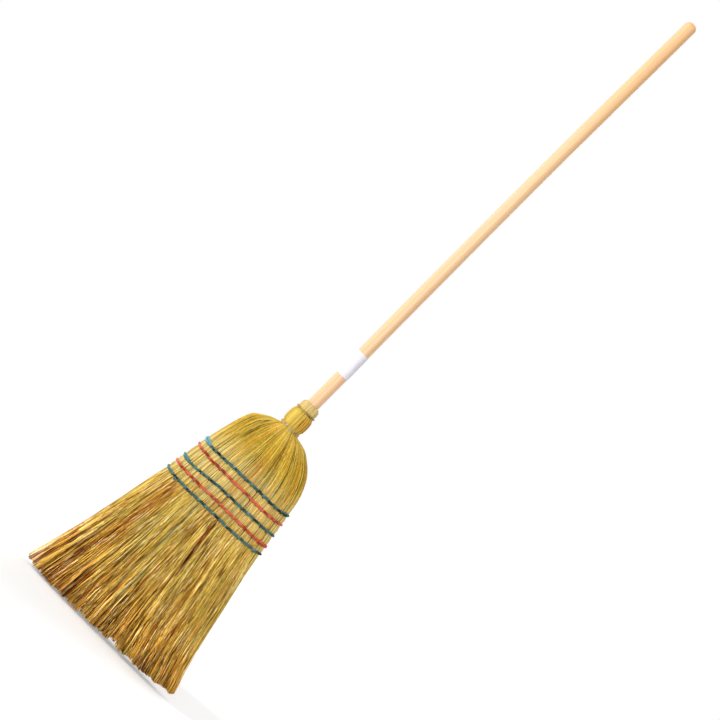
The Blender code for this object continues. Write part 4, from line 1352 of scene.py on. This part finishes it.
def makeStubs(values):
    chance = np.random.RandomState(values["seed"])
    pitch = values["spacing"] * millimetre
    inner, outer = values["stubRing"]
    grid = range(-values["stubRows"], values["stubRows"] + 1)
    centres = []
    for row in grid:
        for column in grid:
            x = neckX + (column + 0.5 * (row % 2)) * pitch + chance.normal(0, values["uneven"])
            y = row * pitch * values["rowPitch"] + chance.normal(0, values["uneven"])
            if inner < math.hypot(x - neckX, y) < outer:
                centres.append((x, y))
    centres = np.array(centres)
    count = len(centres)
    draws = Draws(chance, count)
    top = np.minimum(cutTop(centres[:, 0]), stalkValues["top"]) + chance.normal(0, 0.0006, count)
    heights = np.stack([top, top - 0.005, np.full(count, values["stubBottom"])], axis=1)
    flat = np.repeat(centres[:, None, :], 3, axis=1)
    points = np.concatenate([flat, heights[..., None]], axis=-1)
    out = np.broadcast_to(np.array([0.0, -1.0, 0.0]), points.shape)
    radius = values["radius"] * millimetre * (0.85 + 0.2 * draws.even()) + 0 * heights
    tone = np.clip(draws.varied(values["tone"]), 0, 1)
    hue = np.clip(draws.varied(values["hue"]), 0, 1)
    bundles["core_straw"].strand(points, out, radius, tone, hue, 0.12, 5)
    print("collar stubs:", count)


def makeBed(values):
    turns, top = values["bedTurns"], values["bedTop"]
    turn = np.arange(turns) / turns
    heights = [h for h in (*stalkValues["upper"], *stalkValues["band"]) if h < top]
    inset = -values["bedInset"] * millimetre
    rings = np.array(
        [headPoints(turn, np.full(turns, h), inset)[0] for h in (top, *heights, *values["bedBottoms"])]
    )
    rings[..., 1] *= 1 - values["bedNarrow"] * np.clip((bandFoot - rings[..., 2]) / 0.06, 0, 1)
    angle = 2 * math.pi * turn
    inner = [
        np.stack([neckX + r * np.cos(angle), r * np.sin(angle), np.full(turns, z)], axis=-1)
        for r, z in zip(values["bore"], values["boreHeights"])
    ]
    loops = np.array([*inner[::-1], *rings])
    faces = [tuple(range(turns))[::-1]]
    for level in range(len(loops) - 1):
        for k in range(turns):
            a, b = level * turns + k, level * turns + (k + 1) % turns
            faces.append((a + turns, b + turns, b, a))
    last = (len(loops) - 1) * turns
    faces.append(tuple(last + k for k in range(turns)))
    return smoothMesh("strawBed", loops.reshape(-1, 3).tolist(), faces)


def bedShadeSurface(values):
    surface = Surface("strawBed")
    place = surface.here(0.03)
    lines = surface.noise(place, 620.0, 3.0, 0.6)
    soft = surface.noise(place, 160.0)
    return surface.finish(
        Base_Color=surface.ramp(lines * 0.7 + soft * 0.3, values["colours"]),
        Roughness=0.72 + lines * 0.15,
        Normal=surface.raised(lines, 0.6, 0.0010),
    )


makeStubs(fillValues)
for node, material in strawMaterials.items():
    kind = next((kind for kind in ("core", "cover") if kind in node), "shoulder")
    for bunch in (bundles[node], fibres[node]):
        bunch.make(material, kind + "_straw", node)
placePiece("strawBed", makeBed(fillValues), "core_straw", bedShadeSurface(fillValues))
print("straw pieces ready")

# Twine: a sewn row is a band of twisted plies laid round the head, held by short stitches
twineValues = {
    "seed": 51,
    "plies": 3,
    "plyRadius": 1.40,
    "plyOffset": 1.32,
    "twist": 8.5,  # mm for one turn of the plies
    "out": 1.4,
    "steps": 300,
    "round": (0.508, -0.498),  # from behind the left edge, over the back, to the front
    "waves": 31,
    "waviness": 0.4,
    "tones": 60,
    "bow": 0.6,  # mm that the twine rises or dips between two stitches
    "waist": 0.24,  # share by which it is thinner at a stitch
    "glint": 0.50,  # how much paler it is at some stitches
    "stitchRadius": 0.55,
    "stitchPath": (
        # share of the stitch, and mm above the straw
        (-1.0, -2.6), (-0.8, 0.2), (-0.4, 2.4), (0.0, 3.0), (0.4, 2.4), (0.8, 0.2), (1.0, -2.6),
    ),
    "lift": 1.6,
    "endLength": (0.015, 0.0, 0.014, 0.014, 0.0),  # doubled twine at the left edge
    "endOpen": (4.4, 0.0, 2.2, 1.6, 0.0),  # how far apart the two lie there, in mm
    "endPale": (0.95, 0.50, 0.45, 0.60, 0.50),  # how faded the left ends are
    "rightLength": (0.019, 0.0, 0.038, 0.030, 0.0),  # and at the right edge
    "rightOpen": (2.2, 0.0, 2.0, 3.0, 0.0),
    "rightPale": 0.1,
    "knot": (4, -0.775),  # which row, and where along it
    "knotRadius": 1.3,
    "blue": ((15, 26, 26), (64, 106, 102), (132, 190, 204)),
    "red": ((152, 46, 28), (214, 98, 64), (232, 148, 134)),
}


def twineSurface(name, colours):
    surface = Surface(name)
    tone, worn = surface.carried("strawTone"), surface.carried("strawHue")
    here = surface.here()
    fibre = surface.noise(here, 2600.0, 3.0, 0.65)
    soft = surface.noise(here, 240.0)
    dark, plain, light = (painted(colour) for colour in colours)
    share = surface.threshold(tone * 1.05 + soft * 0.3 + (fibre - 0.5) * 0.6, 0.38, 0.88)
    colour = surface.mixed(share, dark, plain)
    # the paler colour paints the faded ends, and a highlight glint at some stitches
    colour = surface.mixed(worn * (0.55 + fibre * 0.5), colour, light)
    return surface.finish(
        Base_Color=colour,
        Roughness=0.68 + fibre * 0.2,
        Specular_IOR_Level=0.25,
        Normal=surface.raised(fibre, 0.5, 0.0003),
    )


def twistPlies(bunch, path, normals, values, tone, worn, thickness=1.0, scale=1.0):
    ahead = unit(np.gradient(path, axis=0))
    side = unit(np.cross(ahead, normals))
    face = np.cross(side, ahead)
    lengths = lengthsAlong(path)
    steps = np.arange(len(path))
    ends = np.clip(np.minimum(steps, steps[::-1]) / 2.0 + 0.35, 0, 1)
    thickness = thickness * np.ones(len(path)) * millimetre * scale
    for ply in range(values["plies"]):
        angle = 2 * math.pi * (lengths / (values["twist"] * millimetre * scale) + ply / values["plies"])
        turned = np.cos(angle)[:, None] * side + np.sin(angle)[:, None] * face
        centre = path + (values["plyOffset"] * thickness)[:, None] * turned
        radius = values["plyRadius"] * thickness * ends
        bunch.single(centre, face, radius, tone + 0.12 * (ply - 1), worn)


def rowPath(row, turn, rise, out):
    # points of the twine of a row, the ways out from the straw there, and shares of the width
    points, normals, across, _ = headPoints(turn, rows[row] + rise, out)
    return points, normals, across


def makeRows(values):
    colours = [(kind, twineSurface(kind + "Twine", values[kind])) for kind in ("blue", "red")]
    out = (values["out"] + headValues["pinch"]) * millimetre
    count = values["steps"]
    even = np.linspace(0, 1, count)
    columns = 2 * headValues["stitchColumns"] + 2
    for row in range(len(rows)):
        chance = np.random.RandomState(values["seed"] + row)
        bunch = Bunch(f"sewnRow{row + 1}")
        turn = np.linspace(*values["round"], count) % 1.0
        knots = np.linspace(0, 1, values["waves"])
        wave = np.interp(even, knots, chance.normal(0, values["waviness"], values["waves"]))
        column, away = stitchColumn(fanShares(turn, np.full(count, rows[row]))[0])
        way = np.repeat(chance.choice([-1, 1, 0.4], columns), count // columns)
        bow = values["bow"] * np.sin(math.pi * column) * way
        rise = (wave + bow + values["lift"]) * millimetre + np.linspace(0.0010, -0.0010, count)
        waist = 1 - values["waist"] * np.exp(-((away / 0.002) ** 2))
        path, normals, across = rowPath(row, turn, rise, out)
        edge = np.clip((-across - 0.86) / 0.10, 0, 1) * (path[:, 1] < 0.006)
        tone = np.interp(even, np.linspace(0, 1, values["tones"]), chance.random(values["tones"]))
        glints = np.repeat(chance.random(columns) < 0.6, count // columns)
        glint = values["glint"] * np.exp(-((away / 0.0025) ** 2)) * glints
        # paler: the faded ends, and a painted highlight glint at some stitches
        worn = values["endPale"][row] * edge + 0.06 * tone + glint
        twistPlies(bunch, path, normals, values, tone, worn, waist)
        addStitches(bunch, row, values, chance)
        addEnds(bunch, row, values, chance, out)
        if row == values["knot"][0]:
            addKnot(bunch, row, values, out)
        kind, material = colours[row % 2]
        bunch.make(material, kind + "_twine", f"stitch_row_{row + 1}")


def turnAt(across, front):
    # share of the way round for a share of the width, on the flat part
    angle = np.arccos(np.sign(across) * np.abs(across) ** (headValues["flatBluntness"] / 2))
    return np.interp(2 * math.pi - angle if front else angle, flatAngles, flatTurns)


def addStitches(bunch, row, values, chance):
    columns = headValues["stitchColumns"]
    shares, over = np.array(values["stitchPath"]).T
    out = (over + headValues["pinch"]) * millimetre
    for front in (True, False):
        for column in range(-columns // 2 + 1, columns // 2):
            middle = turnAt(2 * column / columns + chance.normal(0, 0.006), front)
            lean = 0.0022 * (1 if front else -1) + chance.normal(0, 0.0005)
            rise = -shares * (2.9 + chance.random()) * millimetre
            path, normals, _ = rowPath(row, (middle + lean * shares) % 1.0, rise, out)
            tone = 0.1 + 0.3 * chance.random()
            bunch.single(path, normals, values["stitchRadius"] * millimetre, tone)


def addEnds(bunch, row, values, chance, out):
    # a second length of twine beside the row at its edges, open like a loop at some
    left = values["endLength"][row], values["endOpen"][row], values["endPale"][row]
    right = values["rightLength"][row], values["rightOpen"][row], values["rightPale"]
    coarse, fine = np.linspace(0, 1, 14), np.linspace(0, 1, 30)
    half = outlineAt(rows[row])[1]
    for side, (length, apart, worn) in ((-1, left), (1, right)):
        if not length:
            continue
        across = np.linspace(0.998, 1 - length / half, len(coarse)) * side
        rise = np.interp(coarse, (0, 0.5, 1), (apart, apart * 0.8, 0.4))
        rise = (rise + values["lift"] - 0.9) * millimetre
        path, normals, _ = rowPath(row, turnAt(across, True), rise, out - 0.0002)
        lengths = lengthsAlong(path)
        path = np.stack([np.interp(fine * lengths[-1], lengths, line) for line in path.T], axis=-1)
        normals = np.stack([np.interp(fine, coarse, line) for line in normals.T], axis=-1)
        tone = 0.4 + 0.3 * chance.random(len(fine))
        twistPlies(bunch, path, unit(normals), values, tone, worn, scale=0.8)


def addKnot(bunch, row, values, out):
    # one and a half turns round the row and a short tail below it
    steps = np.linspace(0, 1, 26)
    turn = turnAt(values["knot"][1], True) + (steps - 0.5) * 0.006
    angle = 2 * math.pi * 1.5 * np.clip(steps / 0.7, 0, 1)
    tail = np.clip((steps - 0.7) / 0.3, 0, 1)
    rise = (2.0 * np.cos(angle) * (1 - tail) - 3.6 * tail - 1.5) * millimetre
    over = (2.2 * np.sin(angle) * (1 - tail) + 0.4) * millimetre
    path, normals, _ = rowPath(row, turn, rise, out + over)
    bunch.single(path, normals, values["knotRadius"] * millimetre, 0.5, 0.25, 6)


makeRows(twineValues)
print("sewn rows ready")

# Wire windings round the neck
wireValues = {
    "windings": (
        # name, node, material, height, radius of what it is wound on, turns, tilt in degrees,
        # wire radius and pitch in mm
        ("lowerWire", "lower_neck_wire", "paleWire", 0.4938, 0.0202, 3, 0.5, 0.64, 1.40),
        ("upperWire", "upper_neck_wire", "dullWire", 0.5328, 0.0188, 2, 1.5, 0.90, 2.00),
        ("handleWire", "inner_wire", "dullWire", 0.5116, 0.0121, 2, 0.0, 0.62, 1.50),
    ),
    "steps": 64,
    "tuck": 0.0022,  # how far the ends go into the straw
    "materials": {
        # clean and stained colour, and how much darker the wire grows towards the right
        "paleWire": ((196, 180, 126), (132, 108, 64), 2.0),
        "dullWire": ((176, 154, 92), (92, 68, 40), 9.0),
    },
}


def wireSurface(name, clean, stained, rightward):
    surface = Surface(name)
    here = surface.here()
    patches = surface.noise(here, 190.0, 3.0, 0.6)
    fine = surface.noise(here, 1800.0)
    # darker in random patches, and more so towards the right
    rust = surface.threshold(patches + surface.part(here, 0) * rightward, 0.44, 0.64)
    return surface.finish(
        Base_Color=surface.mixed(rust, painted(clean), painted(stained)),
        Metallic=0.85 - rust * 0.5,
        Roughness=0.38 + rust * 0.25 + fine * 0.1,
        Normal=surface.raised(fine, 0.25, 0.0002),
    )


def makeWinding(values, material, name, node, height, straw, turns, tilt, radius, pitch):
    radius = radius * millimetre
    share = np.linspace(0, turns, turns * values["steps"] + 1)
    angle = math.pi / 2 + 2 * math.pi * share
    tuck = np.clip(1 - np.minimum(share, turns - share) / 0.06, 0, 1)
    ring = straw + 0.0003 + radius - values["tuck"] * tuck
    rise = (turns / 2 - share) * pitch * millimetre
    x, y = ring * np.cos(angle), ring * np.sin(angle)
    path = np.stack([neckX + x, y, height + rise + x * math.tan(math.radians(tilt))], axis=-1)
    normals = np.stack([np.cos(angle), np.sin(angle), 0 * angle], axis=-1)
    bunch = Bunch(name)
    bunch.single(path, normals, radius, sides=8)
    bunch.make(material, "neck_wire", node)


wires = {name: wireSurface(name, *looks) for name, looks in wireValues["materials"].items()}
for name, node, material, *measures in wireValues["windings"]:
    makeWinding(wireValues, wires[material], name, node, *measures)
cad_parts["wire_nail"].material_slots[0].material = wires["dullWire"]
print("wires ready")

# Handle
handleValues = {
    "radius": 0.012,
    "top": 1.500,
    "dome": 0.010,
    "domeSteps": 9,
    "foot": 0.3905,
    "point": 0.105,
    "footRadius": 0.005,
    "footEdge": (0.0008, 0.001),  # how far its edge is rounded, across and up
    "levels": 30,
    "turns": 72,
    "pale": (240, 195, 144),
    "grain": (228, 169, 116),
    "fleck": (198, 146, 102),
    "golden": (255, 250, 240),  # the darker varnish of the upper end
    "goldenHeights": (0.95, 1.45),
}


def handleSurface(values):
    surface = Surface("beechWood")
    drawnOut = surface.here(0.02)
    bands = surface.noise(drawnOut, 130.0, 3.0, 0.55)
    lines = surface.noise(drawnOut, 900.0, 3.0, 0.6)
    flecks = surface.noise(surface.here(0.16), 1300.0, 1.0)
    broad = surface.noise(surface.here(0.12), 22.0)
    colour = painted(values["pale"])
    for paint, pattern, low, high, share in (
        ("grain", bands, 0.35, 0.75, 0.55),
        ("grain", lines, 0.5, 0.8, 0.35),
        ("fleck", flecks, 0.66, 0.74, 0.4),
    ):
        marks = surface.threshold(pattern, low, high) * share
        colour = surface.mixed(marks, colour, painted(values[paint]))
    colour = surface.scaled(colour, 0.93 + broad * 0.12)
    upper = surface.threshold(surface.part(surface.here(), 2), *values["goldenHeights"])
    return surface.finish(
        Base_Color=surface.mixed(upper, colour, painted(values["golden"]), "MULTIPLY"),
        Roughness=0.34 + lines * 0.14 + upper * 0.15,
        Specular_IOR_Level=0.6,
        Coat_Weight=0.85 - upper * 0.75,
        Coat_Roughness=0.30,
        Normal=surface.raised(lines + flecks * 0.5, 0.12, 0.0003),
    )


def turnedMesh(name, profile, turns):
    # spins a profile of radius and height round the handle's line, both ends on the line
    angle = 2 * math.pi * np.arange(turns) / turns
    middles = [float(handleLine(height)[0]) for _, height in profile]
    points, faces = [(middles[0], 0, profile[0][1])], []
    for (radius, height), middle in zip(profile[1:-1], middles[1:-1]):
        points += [(middle + radius * math.cos(a), radius * math.sin(a), height) for a in angle]
    points.append((middles[-1], 0, profile[-1][1]))
    levels = len(profile) - 2
    last = 1 + (levels - 1) * turns
    for k in range(turns):
        n = (k + 1) % turns
        faces.append((0, 1 + n, 1 + k))
        for a in range(1, last, turns):
            b = a + turns
            faces.append((a + k, a + n, b + n, b + k))
        faces.append((last + k, last + n, len(points) - 1))
    return smoothMesh(name, points, faces)


def makeHandle(values):
    radius, dome, foot, steps = (values[name] for name in ("radius", "dome", "foot", "domeSteps"))
    inward, upward = values["footEdge"]
    straight = np.linspace(foot + values["point"], values["top"] - dome, values["levels"])
    profile = [(0, foot), (values["footRadius"] - inward, foot), (values["footRadius"], foot + upward)]
    profile += [(radius, height) for height in straight]
    for k in range(1, steps):
        angle = math.pi / 2 * k / steps
        profile.append((radius * math.cos(angle), values["top"] - dome + dome * math.sin(angle)))
    profile.append((0, values["top"]))
    mesh = turnedMesh("handleStick", profile, values["turns"])
    placePiece("handleStick", mesh, "handle_wood", handleSurface(values), "handle")


makeHandle(handleValues)
print("handle ready")

# Bare paper wrap
labelValues = {
    "bottom": 0.623,
    "length": 0.054,
    "radius": 0.0124,
    "thickness": 0.0002,
    "seam": 200.0,  # degrees round the handle
    "overlap": 24.0,
    "overlapLift": 0.00042,
    "liftLength": 6.0,  # degrees
    "crease": 0.00005,
    "edge": 50,  # degrees between two faces that meet at a sharp edge
    "steps": 90,
    "levels": 12,
    "paper": (235, 233, 239),
    "shade": (214, 211, 222),
}


def labelSurface(values):
    surface = Surface("labelPaper")
    here = surface.here()
    cloud = surface.noise(here, 60.0, 3.0)
    fibre = surface.noise(here, 1600.0)
    share = surface.threshold(cloud, 0.4, 0.75) * 0.4
    return surface.finish(
        Base_Color=surface.mixed(share, painted(values["paper"]), painted(values["shade"])),
        Roughness=0.5 + fibre * 0.15,
        Normal=surface.raised(fibre + cloud * 2, 0.05, 0.0003),
    )


def makeLabel(values):
    # one sheet wound a little more than once round, with its own thickness
    steps, levels = values["steps"], values["levels"]
    sweep = math.radians(360 + values["overlap"])
    share = np.linspace(0, 1, steps)
    angle = math.radians(values["seam"]) + sweep * share
    lift = (share * sweep - 2 * math.pi) / math.radians(values["liftLength"]) + 1
    lift = np.clip(lift, 0, 1) * values["overlapLift"]
    points, faces = [], []
    for layer in (0.0, values["thickness"]):
        for level in np.linspace(0, 1, levels):
            radius = values["radius"] + lift + layer + values["crease"] * np.sin(level * 9 + angle * 3)
            height = values["bottom"] + values["length"] * level
            x, y = handleLine(height)[0] + radius * np.cos(angle), radius * np.sin(angle)
            points += np.stack([x, y, height + 0 * x], axis=-1).tolist()
    skin = steps * levels
    for j in range(levels - 1):
        for k in range(steps - 1):
            a, b = j * steps + k, (j + 1) * steps + k
            faces.append((a, b, b + 1, a + 1))
            faces.append((skin + a, skin + a + 1, skin + b + 1, skin + b))
    for k in range(steps - 1):
        top = (levels - 1) * steps + k
        faces.append((k, k + 1, skin + k + 1, skin + k))
        faces.append((top, skin + top, skin + top + 1, top + 1))
    for j in range(levels - 1):
        a, b = j * steps, (j + 1) * steps
        faces.append((a, skin + a, skin + b, b))
        faces.append((a + steps - 1, b + steps - 1, skin + b + steps - 1, skin + a + steps - 1))
    mesh = smoothMesh("paperLabel", points, faces)
    mesh.set_sharp_from_angle(angle=math.radians(values["edge"]))
    placePiece("paperLabel", mesh, "label_paper", labelSurface(values), "label")


makeLabel(labelValues)
print("label ready")
